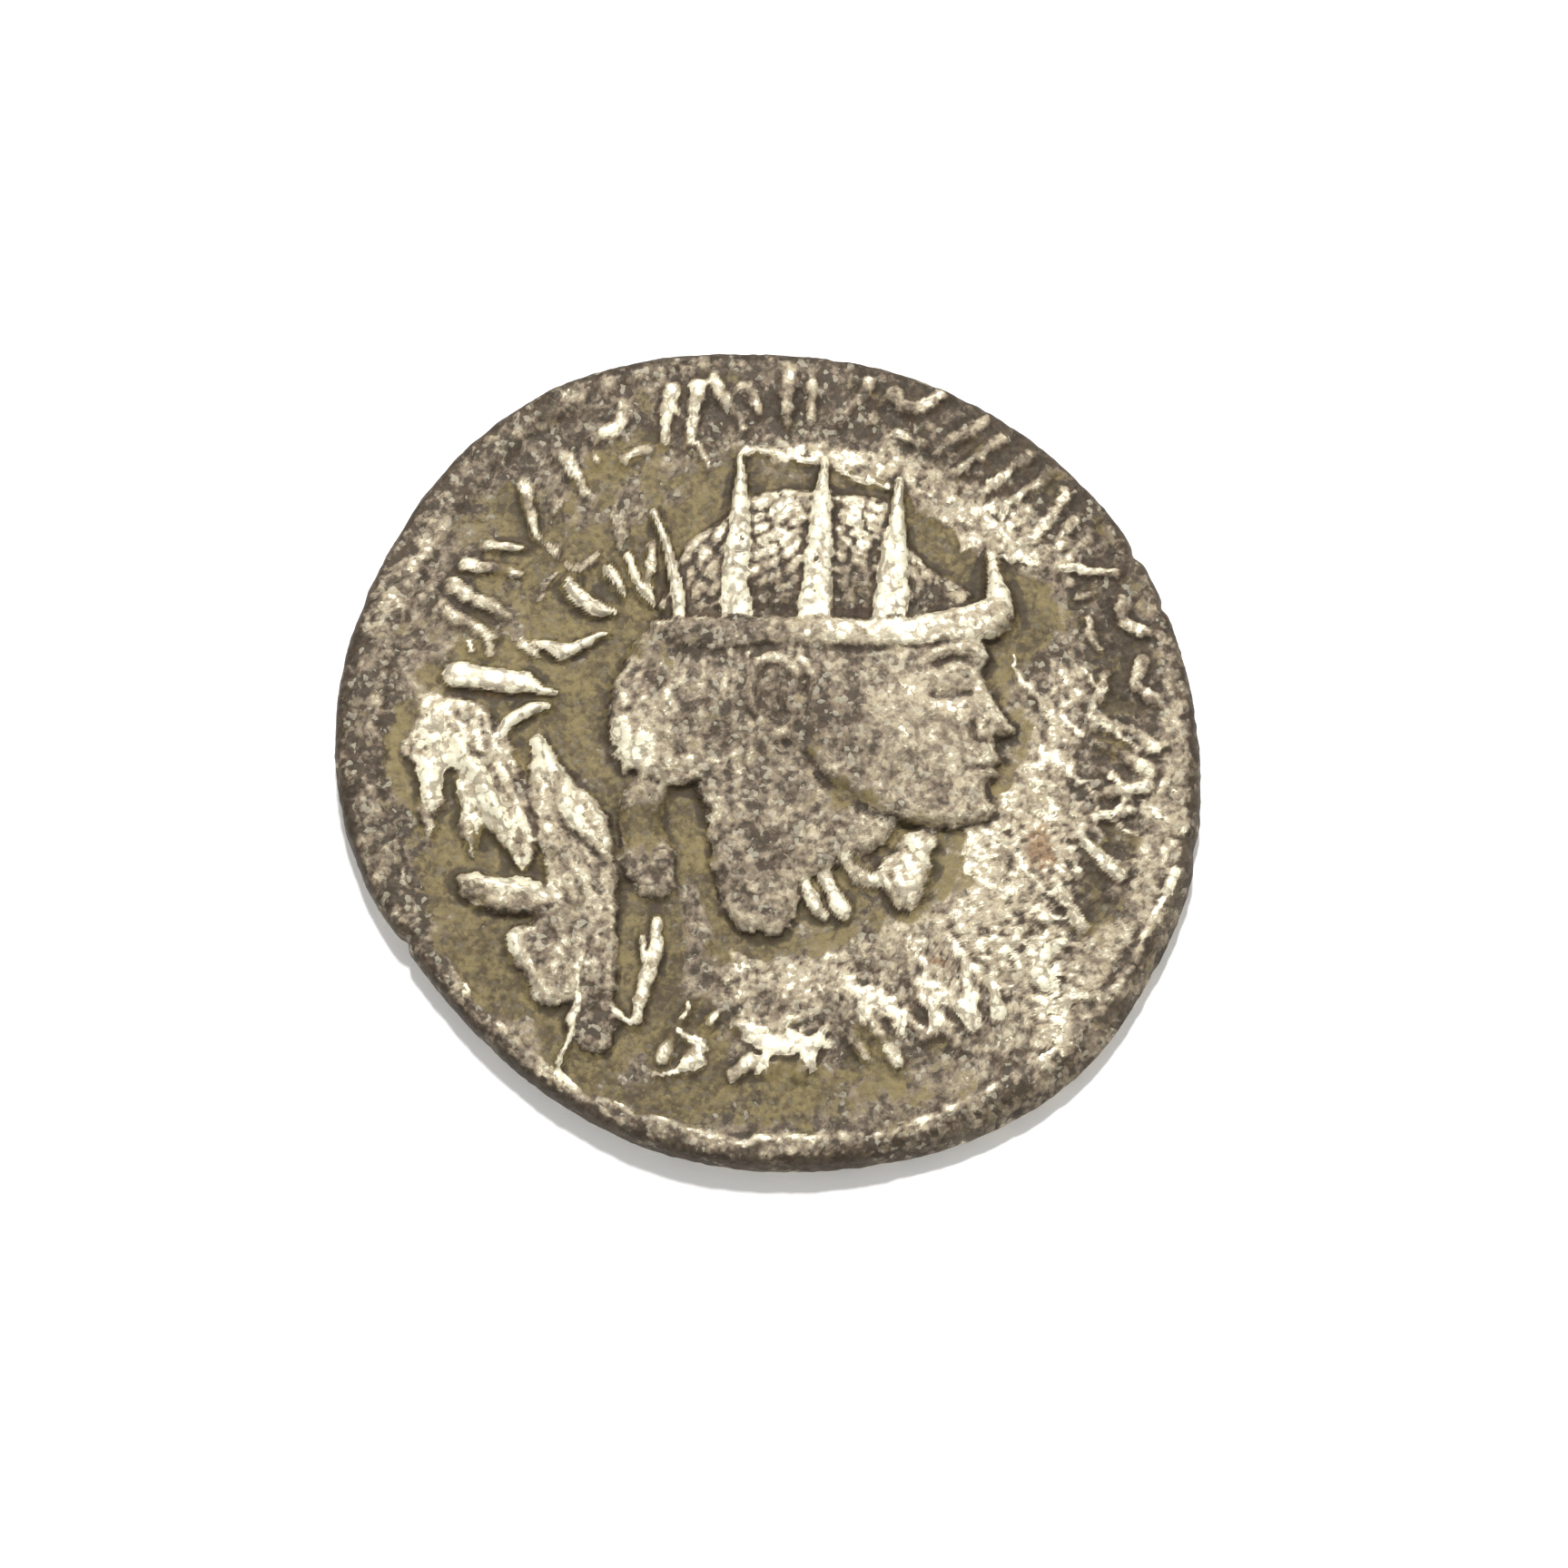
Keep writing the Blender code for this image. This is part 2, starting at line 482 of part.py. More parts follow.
class Scatter:
    """The points of one face of the coin, kept apart from each other."""

    def __init__(self, outline, seed):
        self.outline = outline
        self.cells = {}
        self.points = []
        self.add(outline, 0, 0)
        self.add(seed, NEAREST, EDGE_CLEARANCE)

    def add(self, points, nearest, margin, most=None):
        """Adds the points in turn, leaving out one that is near the outline or an earlier point."""
        if margin:
            points = points[depth_inside(points, self.outline) > margin]
        reach = math.ceil(nearest / NEAREST)
        for x, y in points:
            if most is not None and len(self.points) >= most:
                return
            column, row = int(x // NEAREST), int(y // NEAREST)
            near = (
                other
                for i in range(column - reach, column + reach + 1)
                for j in range(row - reach, row + reach + 1)
                for other in self.cells.get((i, j), ())
            )
            if nearest == 0 or all(math.dist(other, (x, y)) >= nearest for other in near):
                self.cells.setdefault((column, row), []).append((x, y))
                self.points.append((x, y))

    def triangulated(self):
        border = list(range(len(self.outline)))
        found = delaunay_2d_cdt([Vector(p) for p in self.points], [], [border], 1, 1e-6)
        return np.array([tuple(v) for v in found[0]]), np.array([tuple(face) for face in found[2]])

    def refined(self, height_at, most):
        """Triangles that follow a height: each round adds the worst-missed point of the worst facets."""
        weights = np.array(FACET_TRIES, float)
        weights /= weights.sum(axis=1)[:, None]
        for _ in range(REFINING_ROUNDS):
            flat, faces = self.triangulated()
            corner_height = height_at(flat)[faces]
            tries = np.einsum("sk,fkc->fsc", weights, flat[faces])
            true = height_at(tries.reshape(-1, 2)).reshape(len(faces), -1)
            miss = np.abs(true - corner_height @ weights.T)
            worst = miss.argmax(axis=1)
            size = miss.max(axis=1)
            order = np.argsort(-size)
            order = order[size[order] > FACET_MISS][:ADDED_EACH_ROUND]
            self.add(tries[order, worst[order]], NEAREST, EDGE_CLEARANCE, most)
            if len(self.points) >= most or not len(order):
                break
        flat, faces = self.triangulated()
        return flat, height_at(flat), [tuple(face) for face in faces]


def lattice(spacing):
    """A triangular lattice over the flan."""
    reach = FLAN_RADIUS * 1.1
    rows = np.arange(-reach, reach, spacing * math.sqrt(0.75))
    columns = np.arange(-reach, reach, spacing)
    x, y = np.meshgrid(columns, rows)
    x = x + (np.arange(len(rows)) % 2)[:, None] * spacing / 2
    return np.stack([x.ravel(), y.ravel()], 1)


def exposed_guides(carvings, height_at, to_flan):
    """The guide points of each feature that no higher feature buries, laid-over features first."""
    kept = []
    for carving in sorted(carvings, key=lambda carving: not carving.laid_over):
        points = to_flan(carving.guide_points())
        if not carving.laid_over:
            points = points[height_at(points) < carving.height * BURIED_BY]
        kept.append(points)
    return np.vstack(kept)


def coin_mesh():
    """The two faces triangulated, joined by the rows of the edge and centred on the origin."""
    obverse, reverse = obverse_carvings(), reverse_carvings()
    top_edge = edge_loop(lambda clock: EDGE_ROUNDING + shear_lean(clock))
    low_edge = edge_loop(lambda clock: EDGE_ROUNDING + 0 * clock)

    ring = np.arange(0, 2 * math.pi, OUTLINE_SPACING / DIE_RADIUS)
    circle = np.stack([np.cos(ring), np.sin(ring)], 1)

    def obverse_at(points):
        return obverse_height(points, obverse, top_edge)

    def reverse_at(points):
        return reverse_height(points, reverse)

    guides = exposed_guides(obverse, obverse_at, from_obverse_die)
    border = [circle * radius + DIE_CENTRE for radius in (DIE_RADIUS, DIE_RADIUS + BORDER_STEP)]
    scatter = Scatter(top_edge, np.vstack([guides, *border]))
    scatter.add(lattice(FIELD_SPACING), FIELD_CLEARANCE, EDGE_CLEARANCE)
    top_flat, top_height, top_faces = scatter.refined(obverse_at, OBVERSE_POINTS)
    top_z = FIELD_THICKNESS + top_height

    guides = exposed_guides(reverse, reverse_at, from_reverse_die)
    rim = REVERSE_DRAWN_RADIUS - REVERSE_BORDER_INSET
    border = [from_reverse_die(circle * (rim + more)) for more in (0.0, BORDER_STEP)]
    border.append(edge_loop(lambda clock: EDGE_ROUNDING + REVERSE_LIP + 0 * clock))
    scatter = Scatter(low_edge, np.vstack([guides, *border]))
    scatter.add(lattice(FIELD_SPACING), FIELD_CLEARANCE, EDGE_CLEARANCE)
    low_flat, low_height, low_faces = scatter.refined(reverse_at, REVERSE_POINTS)
    low_z = REVERSE_DEPTH - low_height
    low_z[:EDGE_POINTS] = REVERSE_EDGE_LIFT

    wall = []
    for share, level in WALL_ROWS:
        loop = edge_loop(lambda clock: share * EDGE_ROUNDING + max(0, 2 * level - 1) * shear_lean(clock))
        z = low_z[:EDGE_POINTS] + (top_z[:EDGE_POINTS] - low_z[:EDGE_POINTS]) * level
        wall.append(np.column_stack([loop, z]))

    sheets = [np.column_stack([top_flat, top_z]), *wall, np.column_stack([low_flat, low_z])]
    points = np.vstack(sheets)
    middle = (points[:, :2].min(axis=0) + points[:, :2].max(axis=0)) / 2
    points[:, :2] -= middle

    mesh = bmesh.new()
    verts = [mesh.verts.new(point) for point in points * MM]
    first = np.cumsum([0] + [len(sheet) for sheet in sheets])
    for face in top_faces:
        mesh.faces.new([verts[i] for i in face])
    for face in low_faces:
        mesh.faces.new([verts[first[4] + i] for i in reversed(face)])
    for upper, lower in zip(first[:4], first[1:]):
        for i in range(EDGE_POINTS):
            j = (i + 1) % EDGE_POINTS
            mesh.faces.new([verts[upper + i], verts[lower + i], verts[lower + j], verts[upper + j]])
    bmesh.ops.triangulate(mesh, faces=[face for face in mesh.faces if len(face.verts) > 3])
    bmesh.ops.recalc_face_normals(mesh, faces=mesh.faces)
    data = bpy.data.meshes.new("coin")
    mesh.to_mesh(data)
    mesh.free()
    data.shade_smooth()
    data.set_sharp_from_angle(angle=math.radians(SHARP_ANGLE))
    return data


def billon():
    """Worn silver-copper alloy."""
    material = bpy.data.materials.new("worn_billon")
    material.use_nodes = True
    shader = material.node_tree.nodes["Principled BSDF"]
    shader.inputs["Base Color"].default_value = BILLON_COLOUR
    shader.inputs["Roughness"].default_value = BILLON_ROUGHNESS
    shader.inputs["Metallic"].default_value = BILLON_METALLIC
    material.diffuse_color = BILLON_COLOUR
    return material


def main():
    for old in list(bpy.data.objects):
        bpy.data.objects.remove(old)
    data = coin_mesh()
    data.materials.append(billon())
    coin = bpy.data.objects.new("coin", data)
    bpy.context.scene.collection.objects.link(coin)


main()
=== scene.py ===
"""An antoninianus coin lying on a pale table: the struck relief, the worn billon finish and the studio."""

import math

import bpy
import numpy as np
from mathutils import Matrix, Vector


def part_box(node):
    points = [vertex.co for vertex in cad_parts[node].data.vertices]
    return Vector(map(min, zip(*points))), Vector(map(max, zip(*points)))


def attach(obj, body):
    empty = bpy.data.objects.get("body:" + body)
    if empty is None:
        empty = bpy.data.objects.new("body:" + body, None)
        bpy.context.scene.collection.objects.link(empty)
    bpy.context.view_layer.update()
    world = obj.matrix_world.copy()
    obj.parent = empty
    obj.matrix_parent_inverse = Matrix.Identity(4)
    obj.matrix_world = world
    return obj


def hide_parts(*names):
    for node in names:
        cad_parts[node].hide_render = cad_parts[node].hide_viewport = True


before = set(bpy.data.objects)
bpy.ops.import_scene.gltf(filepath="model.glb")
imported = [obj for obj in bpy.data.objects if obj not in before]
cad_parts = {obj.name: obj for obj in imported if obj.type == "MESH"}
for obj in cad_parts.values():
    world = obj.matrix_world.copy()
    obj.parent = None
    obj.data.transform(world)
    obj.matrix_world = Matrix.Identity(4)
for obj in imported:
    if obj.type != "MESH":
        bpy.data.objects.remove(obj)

bl_info = {
    "name": "Struck antoninianus",
    "version": (1, 0, 0),
    "blender": (4, 5, 0),
    "location": "3D View > Sidebar > Coin",
    "description": "Strikes a worn billon coin with a radiate bust and sets it in a plain studio",
    "category": "Object",
}

MM = 0.001
CAD_LOW, CAD_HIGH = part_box("coin")
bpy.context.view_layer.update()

# Flan, in millimetres. The edge's departures from the radius are at every 15 degrees anticlockwise from +X.
FLAN_RADIUS = 11.25
FIELD_THICKNESS = 1.18
EDGE_ROUNDING = 0.22
SHEAR_LEAN = 0.42
SHEAR_CLOCK = 318.0
SHEAR_SPREAD = 34.0
EDGE_DEPARTURE = (
    0.0, 0.0, 0.05, 0.05, 0.05, 0.05, 0.05, 0.3, 0.55, 0.5, 0.3, 0.2,
    0.0, -0.35, -0.85, -1.0, -0.95, -0.8, -0.7, -0.5, -0.15, 0.1, 0.05, 0.1,
)
EDGE_LEVELS = (0.93, 0.76, 0.5, 0.26, 0.08)
EDGE_FULLNESS = 2.4
EDGE_DIP = 0.1
EDGE_DIP_REACH = 0.7
# Small splits of the edge: (clock angle in degrees, depth in millimetres, width in degrees)
EDGE_SPLITS = ((31.0, 0.12, 1.2), (23.0, 0.1, 0.9), (206.0, 0.14, 1.0), (349.0, 0.08, 1.6))
TOP_CELLS = 270
UNDER_CELLS = TOP_CELLS // 2

# Obverse die, in millimetres
DIE_RADIUS = 10.5
DIE_CENTRE = (0.5, 0.7)
RIM_RISE = 0.1
BORDER_STEP = 0.3
LEGEND_CENTRE = (0.55, 1.25)
LEGEND_RADIUS = 8.75
LEGEND_STROKE = 0.23
LEGEND_HEIGHT = 1.5
LEGEND_START = -112.0
LEGEND_END = 166.0
LEGEND_PLACES = 27
LEGEND_WIDTH = 0.85
LEGEND_THIN_WIDTH = 0.7
LEGEND_THIN_FROM = 5.5

# Reverse die, in millimetres. Its high parts are worn to one flat plane, the underside.
REVERSE_RADIUS = 9.9
REVERSE_CENTRE = (-0.2, 0.1)
REVERSE_TURN = 172.0
REVERSE_DEPTH = 0.15
REVERSE_SHOULDER = 0.35
REVERSE_STROKE = 0.2
REVERSE_BORDER_INSET = 0.2
REVERSE_LIP = 0.5
REVERSE_EDGE_LIFT = 0.08
REVERSE_LEGEND_RADIUS = 8.3
REVERSE_LEGEND_START = -60.0
REVERSE_LEGEND_END = 240.0
REVERSE_PLACES = 20

# The head faces right in strict profile. Brow to nose and nose to chin are a third of the face each, the
# upper third is under the band, and the ear stands between the lines of the brow and the nose.
BROW_Y = 2.95
FACE_X = 5.6
FACE_THIRD = 2.27
# Forward of the face line and down from the brow, both in thirds
PROFILE = (
    (0.02, -0.3), (0.03, -0.12), (0.07, 0.0), (0.0, 0.16), (0.0, 0.27), (0.14, 0.55), (0.33, 0.82),
    (0.38, 0.9), (0.3, 0.97), (0.13, 1.0), (0.14, 1.12), (0.21, 1.24), (0.13, 1.33), (0.19, 1.41),
    (0.06, 1.55), (0.07, 1.7), (0.14, 1.82), (0.06, 1.97), (-0.12, 2.02),
)
JAW = ((4.2, -1.75), (2.9, -1.4), (1.8, -0.85), (1.0, -0.1), (0.5, 0.2))
HEAD_BACK = (
    (-0.7, -0.35), (-2.0, -0.65), (-3.4, -0.35), (-4.1, 0.6), (-4.1, 1.8), (-3.7, 2.9), (-3.0, 3.7),
    (0.0, 3.75), (4.5, 3.7),
)
HEAD = (
    *((FACE_X + FACE_THIRD * forward, BROW_Y - FACE_THIRD * down) for forward, down in PROFILE),
    *JAW, *HEAD_BACK,
)
NECK = (
    (3.3, -1.1), (2.9, -2.2), (1.5, -2.8), (0.85, -3.6), (0.6, -4.35), (-0.1, -4.6), (-0.85, -4.35),
    (-1.3, -3.5), (-1.6, -2.4), (-1.7, -1.2), (-1.9, 0.0), (-0.5, 0.8), (1.5, 0.3),
)
NAPE = ((-2.5, -0.2), (-2.7, -1.3), (-2.3, -2.6), (-2.5, -3.4), (-3.3, -3.45), (-3.85, -2.6), (-3.7, -0.5))
BAND = (
    (-3.05, 3.9), (-1.0, 4.0), (1.0, 4.0), (2.6, 3.95), (4.0, 4.05), (5.1, 4.3), (5.75, 4.55),
    (6.2, 4.5), (6.38, 4.0), (6.05, 3.45), (4.6, 3.15), (2.8, 3.05), (0.6, 3.15), (-1.4, 3.0), (-2.6, 3.25),
)
CROWN_HAIR = (
    (-2.75, 4.0), (-2.6, 5.0), (-2.15, 6.05), (-1.3, 6.65), (-0.5, 7.3), (0.6, 7.5), (2.0, 7.35),
    (3.2, 7.15), (3.7, 6.0), (4.3, 5.3), (5.1, 4.85), (5.3, 4.3), (4.0, 3.7), (0.0, 3.6),
)
SHOULDER = (
    (-9.35, 0.5), (-9.15, 1.3), (-8.2, 1.85), (-7.4, 1.6), (-6.95, 0.95), (-6.5, 0.3), (-6.05, -0.9),
    (-5.95, -2.2), (-6.3, -2.85), (-6.8, -2.25), (-7.3, -1.7), (-7.62, -2.5), (-7.9, -1.9), (-8.25, -0.1),
    (-8.5, -1.0), (-8.7, -2.1), (-8.95, -1.5), (-9.1, -0.4),
)
CLOAK = (
    (-5.95, 0.9), (-5.4, 0.15), (-4.8, -0.6), (-4.2, -1.25), (-3.9, -2.2), (-3.85, -3.7), (-3.9, -5.9),
    (-4.4, -6.35), (-5.05, -6.15), (-5.5, -6.45), (-6.15, -5.9), (-6.9, -4.45), (-6.1, -4.1), (-5.7, -3.4),
    (-5.9, -2.4), (-6.15, -1.2), (-6.2, 0.2),
)
LOWER_LAYER = ((-5.15, -6.0), (-5.15, -7.1), (-4.4, -7.7), (-3.85, -7.1), (-3.95, -6.0), (-4.5, -5.7))
LEAF_FOLD = (
    (-8.2, -2.95), (-7.7, -2.8), (-6.6, -2.9), (-5.85, -3.1), (-5.4, -3.6), (-5.8, -3.98), (-7.2, -3.88),
    (-7.85, -3.5),
)
THROAT_FOLD = (
    (4.3, -1.25), (4.42, -1.95), (4.15, -3.0), (3.88, -3.68), (3.35, -3.9), (2.95, -3.4), (2.7, -3.0),
    (3.1, -2.35), (3.75, -1.7),
)

# Raised masses of the bust: outline, rise, width of the shoulder, share of the rise left to the dome
MASSES = (
    (NECK, 0.4, 0.36, 0.2),
    (NAPE, 0.22, 0.35, 0.2),
    (HEAD, 0.48, 0.26, 0.3),
    (CROWN_HAIR, 0.26, 0.3, 0.25),
    (BAND, 0.56, 0.18, 0.05),
    (SHOULDER, 0.16, 0.14, 0.2),
    (CLOAK, 0.32, 0.2, 0.2),
    (LOWER_LAYER, 0.2, 0.2, 0.2),
    (LEAF_FOLD, 0.4, 0.24, 0.1),
    (THROAT_FOLD, 0.29, 0.24, 0.15),
)
DOME_REACH = 2.2

# Strokes on the field: knots of (x, y, half-width)
SPIKES = (
    ((-2.3, 4.0, 0.2), (-2.5, 5.4, 0.15), (-3.0, 6.85, 0.05)),
    ((-0.83, 3.9, 0.5), (-0.85, 5.0, 0.42), (-0.77, 6.0, 0.35), (-0.72, 7.0, 0.24), (-0.72, 8.35, 0.05)),
    ((1.2, 3.9, 0.52), (1.27, 5.0, 0.45), (1.34, 6.0, 0.36), (1.38, 7.0, 0.28), (1.46, 8.2, 0.05)),
    ((3.15, 3.9, 0.54), (3.25, 5.0, 0.47), (3.28, 6.0, 0.34), (3.38, 7.0, 0.17), (3.42, 7.75, 0.05)),
    ((6.0, 4.1, 0.42), (5.97, 4.5, 0.36), (5.92, 4.9, 0.22), (5.86, 5.3, 0.11), (5.78, 5.75, 0.05)),
)
TIES = (
    ((-5.2, 5.1, 0.08), (-5.02, 4.62, 0.24), (-4.5, 4.2, 0.24), (-3.95, 4.1, 0.06)),
    ((-5.85, 3.3, 0.1), (-5.4, 3.08, 0.24), (-4.9, 3.25, 0.16), (-4.25, 3.55, 0.05)),
    ((-3.65, 5.65, 0.12), (-3.4, 5.0, 0.14), (-3.0, 4.35, 0.08)),
    ((-4.15, 5.25, 0.16), (-3.75, 4.6, 0.08)),
    ((-8.1, 2.45, 0.38), (-7.0, 2.3, 0.34), (-6.3, 2.24, 0.27), (-5.95, 2.1, 0.14), (-5.5, 2.0, 0.06)),
    ((-5.75, 1.65, 0.12), (-6.5, 1.35, 0.22), (-7.0, 0.8, 0.14)),
)
CRUMBS = (
    ((-6.4, 3.45, 0.1), (-6.25, 3.1, 0.13), (-6.0, 2.95, 0.08)),
    ((-6.05, 3.3, 0.17), (-6.0, 3.2, 0.17)),
    ((-3.0, 6.0, 0.12), (-3.02, 5.2, 0.16), (-3.08, 4.6, 0.1)),
    ((-5.5, 5.2, 0.05), (-5.75, 4.8, 0.07), (-5.95, 4.4, 0.05)),
    ((-5.3, 5.45, 0.1), (-4.9, 5.4, 0.14), (-4.5, 5.7, 0.1)),
    ((-5.75, 5.95, 0.08), (-5.55, 5.75, 0.13)),
    ((-3.6, 7.0, 0.1), (-3.4, 6.9, 0.16)),
    ((-4.0, 6.9, 0.12), (-3.8, 6.3, 0.2), (-3.9, 5.9, 0.1)),
    ((-7.7, 3.35, 0.1), (-7.65, 3.05, 0.12)),
    ((-7.4, 3.7, 0.1), (-7.25, 3.2, 0.1), (-7.15, 2.95, 0.06)),
)
LOOSE_FOLDS = (
    ((-2.85, -4.2, 0.2), (-3.0, -5.2, 0.24), (-3.2, -6.0, 0.2), (-3.4, -6.7, 0.12)),
    ((-3.3, -4.6, 0.08), (-3.22, -5.2, 0.1)),
    ((-3.35, -6.75, 0.12), (-3.6, -6.78, 0.1), (-3.95, -6.5, 0.07)),
    ((-4.8, -5.0, 0.1), (-4.95, -6.4, 0.12), (-5.05, -7.0, 0.1), (-5.35, -7.8, 0.07)),
    ((1.46, -2.9, 0.2), (1.7, -3.45, 0.24), (1.9, -3.9, 0.22)),
    ((1.0, -3.15, 0.16), (1.15, -3.6, 0.22), (1.4, -3.95, 0.16)),
    ((2.0, -2.5, 0.16), (2.3, -2.95, 0.2), (2.9, -3.1, 0.2)),
)
RIDGES = (
    ((8.3, -0.6, 0.07), (8.7, -1.35, 0.08), (9.5, -1.85, 0.06)),
    ((8.5, 1.25, 0.07), (9.2, 0.8, 0.09), (9.9, 0.45, 0.06)),
    ((6.4, -2.35, 0.12), (6.9, -3.0, 0.12), (7.8, -3.75, 0.06)),
    ((6.85, -3.75, 0.15), (7.8, -4.15, 0.07)),
    ((5.95, -4.55, 0.14), (6.3, -5.0, 0.14), (6.5, -5.5, 0.08)),
    ((5.35, -5.35, 0.16), (5.85, -5.95, 0.12)),
    ((8.05, -2.05, 0.07), (8.6, -2.4, 0.08), (9.1, -2.55, 0.06)),
    ((6.3, 3.0, 0.06), (6.6, 2.4, 0.07), (6.95, 1.8, 0.06)),
    ((6.9, -4.6, 0.1), (7.4, -5.3, 0.08), (8.1, -6.1, 0.06)),
    ((4.6, -4.4, 0.1), (5.1, -5.2, 0.14), (5.3, -6.2, 0.08)),
    ((3.7, -4.6, 0.08), (4.1, -5.4, 0.12), (4.1, -6.0, 0.08)),
    ((7.5, -5.9, 0.06), (7.0, -5.2, 0.1), (6.3, -4.3, 0.08)),
    ((5.2, -3.3, 0.06), (5.7, -3.9, 0.1), (5.8, -4.4, 0.06)),
    ((8.2, 2.6, 0.06), (8.5, 1.9, 0.1), (8.3, 1.3, 0.08)),
    ((7.4, 0.2, 0.06), (7.9, -0.3, 0.1), (8.3, -0.4, 0.08)),
    ((9.0, -0.2, 0.08), (9.3, -0.8, 0.12), (8.9, -1.2, 0.08)),
    ((7.2, 1.4, 0.06), (7.8, 1.2, 0.09), (8.1, 0.8, 0.06)),
    ((-2.6, 10.2, 0.05), (-2.0, 8.9, 0.06), (-1.6, 8.0, 0.05)),
    ((2.1, -5.9, 0.22), (2.7, -6.15, 0.32), (3.2, -6.5, 0.26), (3.45, -7.1, 0.14)),
    ((2.5, -6.2, 0.2), (2.4, -6.8, 0.12)),
    ((3.9, -5.6, 0.2), (4.4, -6.0, 0.36), (4.9, -6.25, 0.3), (5.2, -6.9, 0.12)),
    ((4.3, -6.2, 0.22), (4.2, -7.0, 0.14)),
    ((-0.4, -7.1, 0.2), (0.1, -7.35, 0.3), (0.8, -7.3, 0.26), (1.5, -7.35, 0.12)),
    ((0.1, -7.4, 0.2), (-0.3, -8.0, 0.12)),
    ((1.0, -7.4, 0.16), (1.2, -8.0, 0.1)),
    ((-2.3, -7.0, 0.12), (-1.7, -7.3, 0.16), (-1.9, -7.9, 0.14), (-2.9, -8.1, 0.08)),
    ((-0.6, 8.47, 0.1), (0.9, 8.34, 0.1), (1.7, 8.12, 0.12), (2.3, 7.8, 0.1), (3.35, 7.45, 0.08)),
)
# Groups of strokes on the field: (strokes, rise, flat share, brightness, share of the ragged shift)
STROKE_GROUPS = (
    (SPIKES, 0.46, 0.7, 1.4, 0.25),
    (TIES, 0.26, 0.72, 1.15, 0.5),
    (CRUMBS, 0.12, 0.5, 0.6, 0.8),
    (LOOSE_FOLDS, 0.25, 0.65, 0.85, 0.6),
    (RIDGES, 0.12, 0.2, 1.05, 1.0),
)

# Folds laid over the cloth: (rise, knots)
CLOTH_FOLDS = (
    (0.14, ((-5.88, 0.8, 0.16), (-5.62, 0.1, 0.26), (-5.2, -1.0, 0.26), (-4.6, -1.95, 0.18),
            (-4.1, -2.6, 0.12))),
    (0.1, ((-4.9, -0.4, 0.1), (-4.5, -1.2, 0.22), (-4.1, -2.1, 0.1))),
    (0.22, ((-8.1, 0.8, 0.08), (-7.75, 0.1, 0.26), (-7.15, -0.9, 0.36), (-6.75, -1.7, 0.26),
            (-6.4, -2.8, 0.08))),
    (0.12, ((-7.3, 0.7, 0.1), (-6.75, -0.3, 0.16), (-6.35, -1.6, 0.2), (-6.1, -2.5, 0.08))),
    (0.05, ((-8.85, 1.1, 0.2), (-8.85, 0.0, 0.2), (-8.8, -1.2, 0.14))),
    (0.09, ((-8.05, -0.4, 0.1), (-7.8, -1.3, 0.18), (-7.68, -2.3, 0.1))),
    (0.09, ((-7.5, -1.0, 0.08), (-7.3, -1.5, 0.12), (-7.0, -2.2, 0.08))),
    (0.09, ((-5.7, -2.9, 0.12), (-5.35, -4.2, 0.28), (-5.55, -6.0, 0.12))),
    (0.09, ((-6.6, -4.5, 0.14), (-6.25, -5.2, 0.2), (-5.75, -6.0, 0.1))),
    (0.08, ((-4.75, -2.9, 0.14), (-4.4, -4.2, 0.28), (-4.4, -5.9, 0.14))),
    (0.07, ((-5.6, -1.4, 0.1), (-5.35, -2.2, 0.16), (-4.9, -2.9, 0.1))),
    (0.07, ((-8.0, -3.05, 0.08), (-7.1, -3.2, 0.16), (-6.1, -3.35, 0.14))),
    (-0.14, ((-5.5, -1.45, 0.05), (-4.8, -2.05, 0.09), (-4.15, -2.65, 0.06))),
    (-0.12, ((-6.0, -2.7, 0.08), (-5.55, -3.1, 0.14), (-5.2, -3.5, 0.06))),
    (-0.1, ((-7.45, 0.3, 0.05), (-7.0, -0.6, 0.1), (-6.75, -1.6, 0.06))),
    (-0.1, ((-6.45, 0.0, 0.06), (-6.15, -0.9, 0.1), (-5.95, -1.9, 0.06))),
    (-0.09, ((-8.35, 1.0, 0.05), (-8.4, -0.1, 0.1), (-8.3, -0.7, 0.08))),
    (-0.1, ((-4.75, -5.3, 0.06), (-4.85, -6.2, 0.08), (-5.0, -6.9, 0.06))),
    (0.06, ((-4.75, -6.7, 0.12), (-4.4, -7.4, 0.14))),
)

